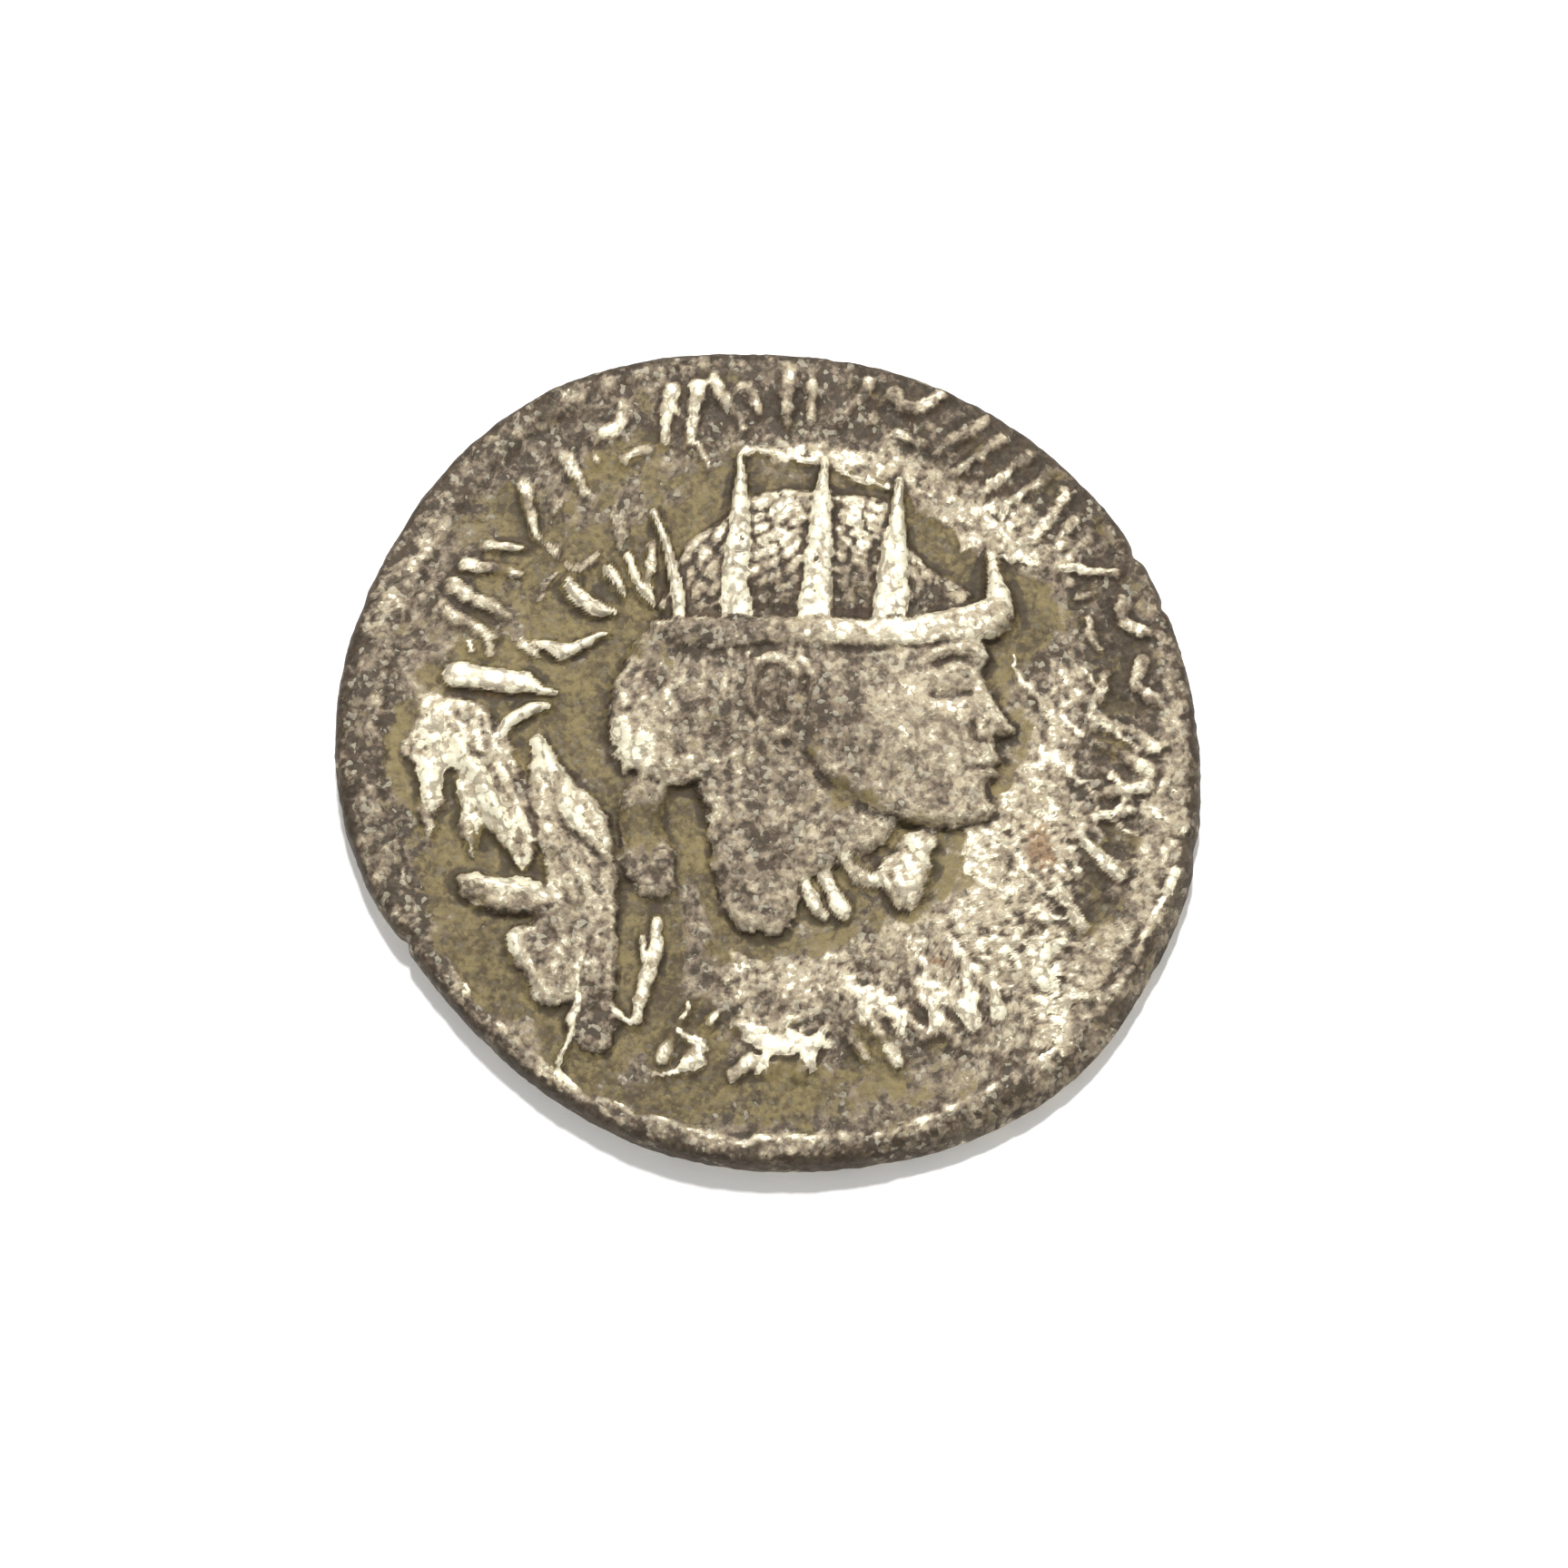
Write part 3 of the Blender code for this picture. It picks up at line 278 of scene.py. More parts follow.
# Carving laid over the face: (rise, knots of forward, down and half-width in thirds of the face)
FACE = (
    (0.1, ((-0.66, 0.06, 0.05), (-0.42, -0.06, 0.09), (-0.16, -0.07, 0.1), (0.02, 0.0, 0.07))),
    (-0.06, ((-0.55, 0.13, 0.05), (-0.3, 0.06, 0.06), (-0.1, 0.14, 0.07), (-0.04, 0.24, 0.06))),
    (0.08, ((-0.54, 0.33, 0.025), (-0.44, 0.21, 0.045), (-0.28, 0.16, 0.05), (-0.14, 0.23, 0.04))),
    (0.06, ((-0.5, 0.34, 0.025), (-0.34, 0.39, 0.04), (-0.2, 0.37, 0.04), (-0.14, 0.3, 0.03))),
    (0.06, ((-0.36, 0.28, 0.07), (-0.25, 0.275, 0.1))),
    (-0.07, ((-0.23, 0.265, 0.035), (-0.22, 0.28, 0.035))),
    (-0.05, ((-0.6, 0.5, 0.07), (-0.38, 0.52, 0.09), (-0.16, 0.46, 0.06))),
    (0.08, ((-0.04, 0.28, 0.05), (0.04, 0.48, 0.07), (0.16, 0.7, 0.09), (0.26, 0.86, 0.1))),
    (0.09, ((0.04, 0.74, 0.04), (-0.05, 0.84, 0.05), (-0.03, 0.95, 0.06), (0.07, 0.97, 0.05))),
    (-0.07, ((-0.12, 0.8, 0.03), (-0.13, 0.95, 0.05), (-0.04, 1.05, 0.03))),
    (-0.08, ((0.1, 0.955, 0.03), (0.2, 0.945, 0.035))),
    (0.05, ((0.1, 1.04, 0.04), (0.14, 1.16, 0.05))),
    (0.07, ((-0.12, 1.315, 0.025), (0.0, 1.265, 0.05), (0.16, 1.235, 0.06))),
    (0.08, ((-0.1, 1.37, 0.025), (0.02, 1.415, 0.055), (0.15, 1.41, 0.06))),
    (-0.1, ((-0.17, 1.345, 0.03), (0.0, 1.335, 0.025), (0.17, 1.33, 0.025))),
    (-0.05, ((-0.24, 1.25, 0.04), (-0.24, 1.42, 0.06))),
    (-0.05, ((-0.04, 1.56, 0.06), (0.05, 1.57, 0.06))),
    (0.06, ((-0.02, 1.78, 0.13), (0.04, 1.8, 0.13))),
    (0.06, ((-0.3, 1.88, 0.08), (-0.9, 1.8, 0.13), (-1.5, 1.52, 0.12), (-1.95, 1.15, 0.08))),
)
HEAD_CARVING = 1.3
# Carving laid over the side of the head, in millimetres: (rise, knots)
EAR = (
    (0.13, ((0.75, 1.95, 0.1), (0.68, 2.5, 0.15), (0.25, 2.85, 0.17), (-0.28, 2.6, 0.17), (-0.45, 2.0, 0.16),
            (-0.28, 1.35, 0.15), (0.08, 0.88, 0.2), (0.45, 0.85, 0.17), (0.6, 1.1, 0.1))),
    (0.09, ((0.42, 2.4, 0.08), (0.08, 2.35, 0.1), (-0.1, 1.9, 0.1), (0.08, 1.4, 0.1))),
    (0.08, ((0.72, 1.75, 0.1), (0.68, 1.5, 0.13))),
    (-0.12, ((0.3, 2.0, 0.13), (0.36, 1.45, 0.16))),
    (-0.1, ((0.05, 2.68, 0.05), (-0.22, 2.4, 0.06), (-0.3, 2.0, 0.06), (-0.2, 1.55, 0.05))),
    (-0.08, ((1.0, 2.4, 0.08), (1.05, 1.7, 0.12), (0.95, 1.1, 0.1))),
)
# Hollow between the jaw and the neck: (depth, knots)
JAW_HOLLOW = (
    0.12, ((4.6, -1.75, 0.1), (3.3, -1.55, 0.18), (2.2, -1.05, 0.24), (1.4, -0.4, 0.2), (1.0, 0.3, 0.1)),
)
# Soft swellings and hollows: (rise, x, y, radius)
SWELLINGS = (
    (0.07, 3.9, 1.1, 1.6), (0.05, 5.2, -1.1, 0.9), (0.07, 0.3, -1.9, 2.0), (-0.05, 3.0, 2.3, 0.8),
    (-0.05, 3.6, -0.5, 0.9), (0.05, -2.4, 1.6, 1.8), (0.05, 2.2, 0.4, 1.2),
)

# Reverse: a standing figure in a long gown, with a staff in one hand and a dish in the other
REVERSE_GOWN = (
    (-1.15, 4.3), (0.0, 4.75), (1.15, 4.3), (1.4, 2.7), (1.15, 1.4), (1.7, -1.5), (2.2, -6.3), (0.3, -6.6),
    (-1.9, -6.3), (-1.6, -1.5), (-1.15, 1.4), (-1.35, 2.8),
)
REVERSE_HEAD = (
    (0.0, 6.35), (0.6, 6.1), (0.75, 5.5), (0.5, 4.95), (0.0, 4.8), (-0.5, 4.95), (-0.75, 5.5), (-0.6, 6.1),
)
REVERSE_LIMBS = (
    ((1.0, 3.8, 0.34), (2.4, 3.3, 0.3), (3.35, 4.3, 0.24)),
    ((-1.0, 3.8, 0.34), (-2.2, 2.5, 0.3), (-2.9, 1.3, 0.24)),
    ((3.45, 7.0, 0.2), (3.5, 0.5, 0.2), (3.5, -6.3, 0.2)),
    ((-4.3, -6.9, 0.18), (0.0, -7.0, 0.22), (4.3, -6.9, 0.18)),
    ((-3.4, 1.0, 0.26), (-2.4, 1.0, 0.26)),
)

# Pale crust on the field, raised a little: closed outlines
CRUST = (
    ((-0.6, 8.45), (0.9, 8.35), (1.7, 8.1), (2.3, 7.8), (3.4, 7.45), (3.95, 6.85), (4.8, 6.15), (5.2, 5.75),
     (5.9, 5.6), (6.5, 5.2), (7.6, 4.9), (8.4, 5.3), (8.5, 6.6), (7.0, 7.9), (5.2, 8.6), (3.0, 8.8),
     (0.0, 8.9), (-0.8, 8.75)),
    ((7.0, 2.2), (7.3, 1.6), (7.0, 0.7), (6.4, 0.0), (5.8, -0.8), (5.3, -1.4), (4.75, -1.5), (4.7, -2.0),
     (5.1, -2.8), (4.7, -3.6), (3.9, -4.1), (2.3, -4.3), (2.0, -5.2), (3.2, -5.6), (5.0, -6.2), (5.5, -7.8),
     (7.5, -7.4), (9.2, -5.2), (9.2, -3.0), (8.2, -1.2), (8.0, 1.0), (8.0, 2.3), (7.4, 2.6)),
    ((-9.3, 1.4), (-8.9, 2.2), (-8.2, 2.0), (-7.2, 1.3), (-7.0, 0.5), (-8.0, 0.0), (-8.4, -0.3), (-8.7, -2.2),
     (-9.1, -1.9), (-9.0, -0.5), (-9.4, 0.3)),
    ((-1.1, -5.1), (0.3, -5.0), (2.2, -4.8), (2.3, -5.8), (1.0, -6.7), (-0.9, -6.6), (-1.3, -5.9)),
)
CRUST_RISE = 0.035

# Tone patches: (x, y, half-length, half-width, turn in degrees, strength)
BRIGHT_PATCHES = (
    (-7.4, -0.7, 1.7, 0.9, -55.0, 0.8), (-5.85, 0.4, 0.3, 0.6, 10.0, 1.0), (-8.7, 0.6, 0.7, 1.7, 0.0, 0.7),
    (-6.4, -3.1, 1.0, 0.4, -8.0, 1.2), (3.7, -2.6, 0.6, 1.0, -15.0, 0.5), (10.0, -0.6, 0.9, 4.0, 0.0, 0.35),
    (5.3, -2.2, 0.5, 1.2, -30.0, 0.4), (7.0, 5.8, 2.2, 1.0, -40.0, 0.4), (6.6, -5.0, 2.4, 1.6, 30.0, 0.1),
    (7.9, 2.2, 0.7, 0.9, 0.0, 0.35), (6.9, 1.0, 0.6, 1.6, 15.0, 0.3), (3.8, 3.6, 2.6, 0.5, 3.0, 0.75),
    (-3.4, 0.5, 0.9, 0.7, -10.0, 0.9), (3.4, 1.9, 2.0, 1.1, 0.0, 0.3),
    (0.3, -7.35, 1.2, 0.4, 0.0, 0.9), (2.8, -6.3, 0.6, 0.6, 10.0, 0.7), (4.5, -6.1, 0.6, 0.6, 0.0, 0.7),
    (6.9, -0.4, 0.7, 1.6, 0.0, 0.2), (5.6, -3.4, 1.2, 0.9, -20.0, 0.35), (-6.5, -4.9, 0.3, 0.8, 35.0, 0.45),
    (-5.0, -1.2, 1.6, 0.6, -52.0, 0.5), (0.2, 6.9, 0.7, 0.45, 0.0, 0.6), (0.2, 5.9, 0.6, 0.6, 0.0, 0.45),
    (2.3, 6.6, 0.7, 0.5, 0.0, 0.3), (5.8, 6.9, 1.4, 0.9, -30.0, 0.15), (7.4, -6.0, 1.2, 1.0, 0.0, 0.3),
    (1.0, 8.4, 2.0, 0.2, -5.0, 0.7), (-5.2, -8.4, 1.6, 0.3, -22.0, 0.4), (4.6, 0.0, 0.9, 1.2, 0.0, 0.2),
)
DARK_PATCHES = (
    (-10.2, 0.0, 1.0, 4.5, 8.0, 0.3), (7.8, 6.8, 2.0, 1.2, -50.0, 0.6), (-1.3, 3.4, 1.6, 0.5, 0.0, 0.4),
    (0.2, 4.5, 0.5, 0.6, 0.0, 0.7), (2.3, 4.7, 0.7, 0.7, 0.0, 0.6), (4.2, 4.6, 0.5, 0.4, 0.0, 0.4),
    (-4.5, -6.9, 0.8, 0.7, 0.0, 0.4),
    (-7.0, 5.4, 1.6, 1.4, 45.0, 0.3), (-0.2, -2.4, 1.4, 1.6, 0.0, 0.12), (1.6, 1.3, 1.6, 1.2, 0.0, 0.3),
    (-3.0, -2.9, 0.6, 0.6, 0.0, 0.35), (5.0, 9.2, 2.6, 1.0, -35.0, 0.5), (-6.5, 8.5, 2.4, 0.8, 40.0, 0.3),
    (4.0, -10.0, 3.5, 0.6, 12.0, 0.4), (-7.0, -8.0, 3.0, 0.7, -42.0, 0.15), (0.5, 9.8, 4.5, 0.9, 0.0, 0.3),
    (9.3, 4.2, 1.0, 2.6, 15.0, 0.3), (8.9, 0.4, 0.5, 0.45, 0.0, 0.8), (9.1, 1.6, 0.7, 0.35, -20.0, 0.8),
    (8.5, -3.2, 0.7, 0.35, -60.0, 0.9), (8.95, -3.8, 0.5, 0.3, 0.0, 0.7), (7.3, 3.4, 0.35, 0.7, 0.0, 0.4),
    # The second patch on the next line, at (-6.9, -3.95), is a painted shadow: a thin dark strip along the
    # lower edge of the leaf fold
    (-9.2, -2.6, 0.6, 1.2, 20.0, 0.3), (-6.9, -3.95, 0.9, 0.1, -8.0, 0.8), (1.1, 1.5, 0.3, 0.6, 0.0, 0.5),
    (-0.5, -8.9, 3.6, 0.6, 0.0, 0.5), (3.7, -6.9, 0.3, 0.8, 0.0, 0.5), (6.9, 3.8, 0.4, 1.1, 0.0, 0.35),
    (2.2, -7.2, 0.5, 0.5, 0.0, 0.5), (4.3, 5.0, 0.7, 0.5, -35.0, 0.4),
)
RUST_PATCHES = (
    (7.0, -2.2, 0.5, 0.7, 0.0, 0.8), (4.5, -5.2, 0.7, 0.3, 0.0, 0.6), (-7.3, 1.95, 0.8, 0.12, -4.0, 0.5),
)
OLIVE_PATCHES = (
    (8.9, 0.5, 0.5, 0.5, 0.0, 0.9), (9.1, 1.6, 0.6, 0.3, -20.0, 0.8), (8.6, -3.3, 0.6, 0.35, -60.0, 0.8),
    (-4.6, 2.6, 0.9, 1.8, -30.0, 0.9), (-7.4, -5.2, 1.1, 2.8, 35.0, 0.9), (-8.2, -2.3, 0.9, 0.8, 0.0, 0.8),
    (-2.5, 7.2, 1.6, 1.1, 0.0, 0.6), (4.6, 6.0, 0.5, 1.6, 40.0, 0.9), (-3.2, -4.5, 0.9, 2.4, 0.0, 0.7),
    (0.0, -4.9, 2.6, 0.5, 0.0, 0.6), (-1.7, -8.8, 4.6, 0.9, 4.0, 1.0), (3.5, -1.3, 0.7, 0.5, 0.0, 0.5),
    (7.0, 3.9, 0.7, 1.3, 0.0, 0.8), (-6.2, 6.1, 2.4, 1.3, 45.0, 0.8), (-3.6, 8.4, 1.8, 0.8, 18.0, 0.5),
    (-5.2, 4.2, 1.6, 1.4, 0.0, 0.6), (-1.9, -7.2, 1.2, 1.2, 0.0, 0.6), (-2.1, -1.8, 0.35, 1.0, 0.0, 0.6),
    (3.0, -7.6, 0.5, 0.9, 10.0, 0.5),
)

# The same film where it lies on the bust
RAISED_OLIVE_PATCHES = (
    (-3.6, -1.3, 0.35, 0.9, 0.0, 0.7), (-3.05, -1.5, 0.7, 0.7, 0.0, 0.8), (-2.3, -0.9, 0.6, 0.5, 0.0, 0.6),
    (2.6, -0.9, 1.2, 0.35, -24.0, 0.7), (0.9, 0.2, 0.5, 0.5, 0.0, 0.5), (-3.3, 2.9, 0.5, 0.5, 0.0, 0.4),
    (1.1, 1.0, 0.3, 0.6, 0.0, 0.5), (-4.2, -2.4, 0.25, 0.9, 0.0, 0.5), (-7.5, -1.9, 0.25, 0.5, 0.0, 0.5),
)

# How far corrosion shifts the outlines of the bust, the legend and the crust, in millimetres
RAGGED_BUST = 0.13
RAGGED_FINE = 0.07
RAGGED_LEGEND = 0.09
RAGGED_CRUST = 0.5
# Sizes of the grain, in millimetres
GRAIN = 0.34
PEBBLE = 0.26
NOISE_REACH = 13.0

# Locks inside the crown, combed another way from each x on: (x, turn in degrees, spacing, length, seed)
CROWN_TUFTS = (
    (-NOISE_REACH, 60, 0.34, 0.7, 5), (-0.8, 24, 0.34, 0.9, 6), (1.3, -14, 0.27, 0.62, 7),
    (3.2, 110, 0.3, 0.55, 8),
)
# Locks behind the ear, in rings round a pole: rings from, to and by, and turns in degrees from and to
HAIR_POLE = (0.2, 5.4)
LOCK_RINGS = (2.45, 6.0, 0.52)
LOCK_TURNS = (181.0, 292.0)
LOCK_SPACING = 0.44
LOCK_LENGTH = 0.46

# What brightens the metal, and what darkens it again, with painted highlight on the slopes and the lip that
# face the lamp and painted shade at the feet of raised parts
GLEAM_GROUND = 0.3
PAINTED_HIGHLIGHT_UPPER_SLOPE = 0.22
GLEAM_BULGE = 0.3
GLEAM_CRUST = 0.24
GLEAM_TUFT = 0.8
GLEAM_LOCK = 0.2
PAINTED_HIGHLIGHT_LIP = 1.2
GLEAM_PEBBLE = 0.18
GLEAM_RIM_SPECK = 0.42
LOSS_GAP = 0.4
LOSS_CAVITY = 0.5
LOSS_CREVICE = 0.25
PAINTED_SHADE_FOOT_LOSS = 0.35
# What holds dark deposits, and the painted shade at the feet of raised parts
SOOT_STAIN_AND_SHADOW = 0.45
SOOT_RIM = 0.15
SOOT_CREVICE = 0.35
SOOT_TUFT = 0.7
SOOT_GAP = 0.4
SOOT_DARK_RIM = 0.5
PAINTED_SHADE_FOOT_DARK = 0.7
# A small chip whose tone is above the first is a pit, and one below the second is a bright fleck
PIT_FROM = 0.88
FLECK_TO = 0.12

# The table and the lamp, in metres, and the camera: where it looks in drawing millimetres, and its lens
TABLE_HALF = 0.6
LAMP_PLACE = (0.0, 0.25, 0.45)
LAMP_SIZE = 0.05
LOOK_AT = (0.41, -0.52, 1.45)
SENSOR_WIDTH = 36.0
FOCAL_LENGTH = SENSOR_WIDTH * 8520 / 1727


class CoinShape(bpy.types.PropertyGroup):
    """Relief, grain and wear of the coin's surface."""

    legend_rise: bpy.props.FloatProperty(
        name="Legend rise", description="Height of the worn strokes round the bust", default=0.00018,
        unit="LENGTH"
    )
    grain_rise: bpy.props.FloatProperty(
        name="Grain", description="Roughness of the corroded field", default=0.00003, unit="LENGTH"
    )
    wear_passes: bpy.props.IntProperty(
        name="Wear", description="How often the relief is smoothed", default=1, min=0, max=12
    )


class CoinFinish(bpy.types.PropertyGroup):
    """Colours of the coin's metal and patina."""

    silver: bpy.props.FloatVectorProperty(
        name="Silver", description="Clean metal", default=(0.93, 0.87, 0.66), subtype="COLOR"
    )
    crust: bpy.props.FloatVectorProperty(
        name="Crust", description="Pale corroded metal", default=(0.53, 0.45, 0.31), subtype="COLOR"
    )
    worn: bpy.props.FloatVectorProperty(
        name="Worn metal", description="Grey toned high parts", default=(0.28, 0.225, 0.162), subtype="COLOR"
    )
    tarnish: bpy.props.FloatVectorProperty(
        name="Tarnish", description="Dark toned metal", default=(0.08, 0.062, 0.044), subtype="COLOR"
    )
    olive: bpy.props.FloatVectorProperty(
        name="Olive film", description="Film in the hollows", default=(0.235, 0.185, 0.084),
        subtype="COLOR"
    )
    film_shade: bpy.props.FloatVectorProperty(
        name="Brown film", description="Darker parts of the film", default=(0.085, 0.063, 0.033),
        subtype="COLOR"
    )
    # Also the colour of the painted shade at the feet of raised parts and on the edge wall
    brown: bpy.props.FloatVectorProperty(
        name="Brown deposit", description="Dark deposit in the deepest places", default=(0.045, 0.033, 0.022),
        subtype="COLOR"
    )
    crack: bpy.props.FloatVectorProperty(
        name="Cracks", description="Red-brown lines between the chips of the crust",
        default=(0.14, 0.085, 0.05), subtype="COLOR"
    )
    rust: bpy.props.FloatVectorProperty(
        name="Rust", description="Red-brown stains", default=(0.3, 0.16, 0.07), subtype="COLOR"
    )


class CoinStage(bpy.types.PropertyGroup):
    """The camera, the lamp and the even light."""

    elevation: bpy.props.FloatProperty(
        name="Camera elevation", description="Above the table", default=math.radians(76), subtype="ANGLE"
    )
    distance: bpy.props.FloatProperty(
        name="Camera distance", description="From the coin's top", default=0.2, unit="LENGTH"
    )
    key_power: bpy.props.FloatProperty(
        name="Key light", description="Power of the lamp over the coin", default=2.75, unit="POWER"
    )
    sky: bpy.props.FloatProperty(name="Sky", description="Strength of the even light", default=0.45)


def smooth_path(knots, step, closed=False):
    """Points about `step` apart on the Catmull-Rom curve that passes through the knots."""
    knots = np.asarray(knots, float)
    if closed:
        held = knots[np.arange(-1, len(knots) + 2) % len(knots)]
    else:
        held = np.vstack([2 * knots[0] - knots[1], knots, 2 * knots[-1] - knots[-2]])
    runs = []
    for before, start, end, after in zip(held, held[1:], held[2:], held[3:]):
        count = max(1, round(math.dist(start[:2], end[:2]) / step))
        t = (np.arange(count) / count)[:, None]
        bend = 2 * before - 5 * start + 4 * end - after
        twist = 3 * start - before - 3 * end + after
        runs.append(0.5 * (2 * start + (end - before) * t + bend * t**2 + twist * t**3))
    if not closed:
        runs.append(knots[-1:])
    return np.vstack(runs)


def near_box(points, path, reach):
    """Which points are within `reach` of the box round a path."""
    low = path[:, :2].min(axis=0) - reach
    high = path[:, :2].max(axis=0) + reach
    return np.all((points > low) & (points < high), axis=1)


def depth_inside(points, knots, step=0.3):
    """How far each point is inside the smooth closed loop through the knots, nothing outside it."""
    loop = smooth_path(knots, step, closed=True)
    near = near_box(points, loop, 0)
    depth = np.zeros(len(points))
    here = points[near]
    gap = np.full(len(here), np.inf)
    inside = np.zeros(len(here), bool)
    for start, end in zip(loop, np.roll(loop, -1, axis=0)):
        span = end - start
        offset = here - start
        along = np.clip(offset @ span / (span @ span), 0, 1)
        gap = np.minimum(gap, np.hypot(*(offset - along[:, None] * span).T))
        if start[1] != end[1]:
            meets = start[0] + (here[:, 1] - start[1]) / span[1] * span[0]
            inside ^= ((start[1] > here[:, 1]) != (end[1] > here[:, 1])) & (here[:, 0] < meets)
    depth[near] = np.where(inside, gap, 0)
    return depth


def share_of_stroke(points, knots, step=0.25):
    """1 on the middle line of a stroke, falling evenly to 0 at its foot."""
    line = smooth_path(knots, step)
    near = near_box(points, line, line[:, 2].max())
    share = np.zeros(len(points))
    here = points[near]
    best = np.zeros(len(here))
    for start, end in zip(line, line[1:]):
        span = end[:2] - start[:2]
        offset = here - start[:2]
        along = np.clip(offset @ span / (span @ span), 0, 1)
        gap = np.hypot(*(offset - along[:, None] * span).T)
        best = np.maximum(best, 1 - gap / (start[2] + along * (end[2] - start[2])))
    share[near] = best
    return share


def rounded(share):
    """A worn shoulder: a quarter sine, steep at the foot and level at the top."""
    return np.sin(np.clip(share, 0, 1) * math.pi / 2)


def cover(points, knots, width=0.3, step=0.3):
    """0 outside a closed outline and 1 from `width` inside it."""
    return rounded(depth_inside(points, knots, step) / width)


def ridge(points, knots, step=0.25):
    """A stroke with a worn top: 1 on its middle line and 0 at its foot."""
    return rounded(share_of_stroke(points, knots, step))


def smoothstep(low, high, value):
    """0 below `low`, 1 above `high`, with an S curve between them."""
    t = np.clip((value - low) / (high - low), 0, 1)
    return t * t * (3 - 2 * t)


def mottle(points, size, seed):
    """Smooth noise from -1 to 1: random values on a turned square lattice, joined by S curves."""
    random = np.random.default_rng(seed)
    count = int(3 * NOISE_REACH / size) + 3
    lattice = random.uniform(-1, 1, (count, count))
    turn = seed * 0.7
    x = points[:, 0] * math.cos(turn) - points[:, 1] * math.sin(turn)
    y = points[:, 0] * math.sin(turn) + points[:, 1] * math.cos(turn)
    where = np.stack([x, y], 1) / size + count / 2
    cell = np.floor(where).astype(int) % (count - 1)
    t = where - np.floor(where)
    t = t * t * (3 - 2 * t)
    i, j = cell.T
    low = lattice[i, j] * (1 - t[:, 0]) + lattice[i + 1, j] * t[:, 0]
    high = lattice[i, j + 1] * (1 - t[:, 0]) + lattice[i + 1, j + 1] * t[:, 0]
    return low * (1 - t[:, 1]) + high * t[:, 1]


def clouds(points, size, seed, octaves=3):
    """Mottle at several sizes, each half as large and 0.6 times as strong as the one before."""
    total = 0
    for octave in range(octaves):
        total = total + 0.6**octave * mottle(points, size / 2**octave, seed + 11 * octave)
    return total / 1.4


def pebbles(points, size, seed):
    """Low domes packed side by side: 1 in the middle of each, and a tone from -1 to 1 for each."""
    random = np.random.default_rng(seed)
    count = int(2 * NOISE_REACH / size) + 4
    middle = random.uniform(0.1, 0.9, (count, count, 2))
    tone = random.uniform(-1, 1, (count, count))
    where = shifted(points, 0.3 * size, 1.5 * size, seed) / size + count / 2
    cell = np.floor(where).astype(int)
    least = np.full(len(points), np.inf)
    chosen = np.zeros(len(points))
    for step in np.ndindex(3, 3):
        near = np.clip(cell + np.array(step) - 1, 0, count - 1)
        i, j = near.T
        gap = np.hypot(*(where - near - middle[i, j]).T)
        chosen = np.where(gap < least, tone[i, j], chosen)
        least = np.minimum(gap, least)
    return np.clip(1 - least / 0.75, 0, 1), chosen


def shifted(points, reach, size, seed):
    """The points moved by up to about `reach` in a random direction that changes over `size`."""
    return points + reach * np.stack([clouds(points, size, seed), clouds(points, size, seed + 1)], 1)


def as_square(values):
    """The values of a face's points as the square grid that they come from."""
    side = math.isqrt(len(values))
    return values.reshape(side, side)


def blurred(values, passes):
    """A face's values smoothed by repeated 1-2-1 averages along both ways of its grid."""
    field = as_square(values)
    for _ in range(passes):
        for axis in (0, 1):
            held = np.pad(field, [(1, 1) if a == axis else (0, 0) for a in (0, 1)], mode="edge")
            low = np.take(held, range(0, held.shape[axis] - 2), axis)
            high = np.take(held, range(2, held.shape[axis]), axis)
            field = 0.5 * field + 0.25 * (low + high)
    return field.ravel()


def rise_along_y(values, points):
    """How steeply a face's values rise towards +Y: the slopes along the bent grid's two ways, combined."""
    along_rows, along_columns = np.gradient(as_square(values))
    x_rows, x_columns = np.gradient(as_square(points[:, 0]))
    y_rows, y_columns = np.gradient(as_square(points[:, 1]))
    area = x_rows * y_columns - x_columns * y_rows
    area = np.where(np.abs(area) < 1e-9, 1e-9, area)
    return ((x_rows * along_columns - x_columns * along_rows) / area).ravel()


def patches(points, table):
    """The sum of soft ellipses."""
    total = np.zeros(len(points))
    for x, y, length, width, turn, strength in table:
        c, s = math.cos(math.radians(turn)), math.sin(math.radians(turn))
        offset = points - (x, y)
        along = offset[:, 0] * c + offset[:, 1] * s
        across = offset[:, 1] * c - offset[:, 0] * s
        total += strength * np.exp(-((along / length) ** 2) - (across / width) ** 2)
    return total


def bars(points, turn, spacing, length, seed):
    """Rows of short rounded bars: 1 on the crest of a bar and 0 between bars, with uneven rows."""
    bent = shifted(points, 0.16, 0.7, seed)
    c, s = math.cos(math.radians(turn)), math.sin(math.radians(turn))
    along = bent[:, 0] * c + bent[:, 1] * s
    across = (bent[:, 1] * c - bent[:, 0] * s) / spacing
    row = np.floor(across)
    offset = np.mod(np.sin(row * 12.9) * 43.7, 1)
    place = np.mod(along / length + offset, 1) * 2 - 1
    width = (across - row) * 2 - 1
    return np.sqrt(np.clip(1 - width**2, 0, 1)) * np.clip(1 - place**6, 0, 1)


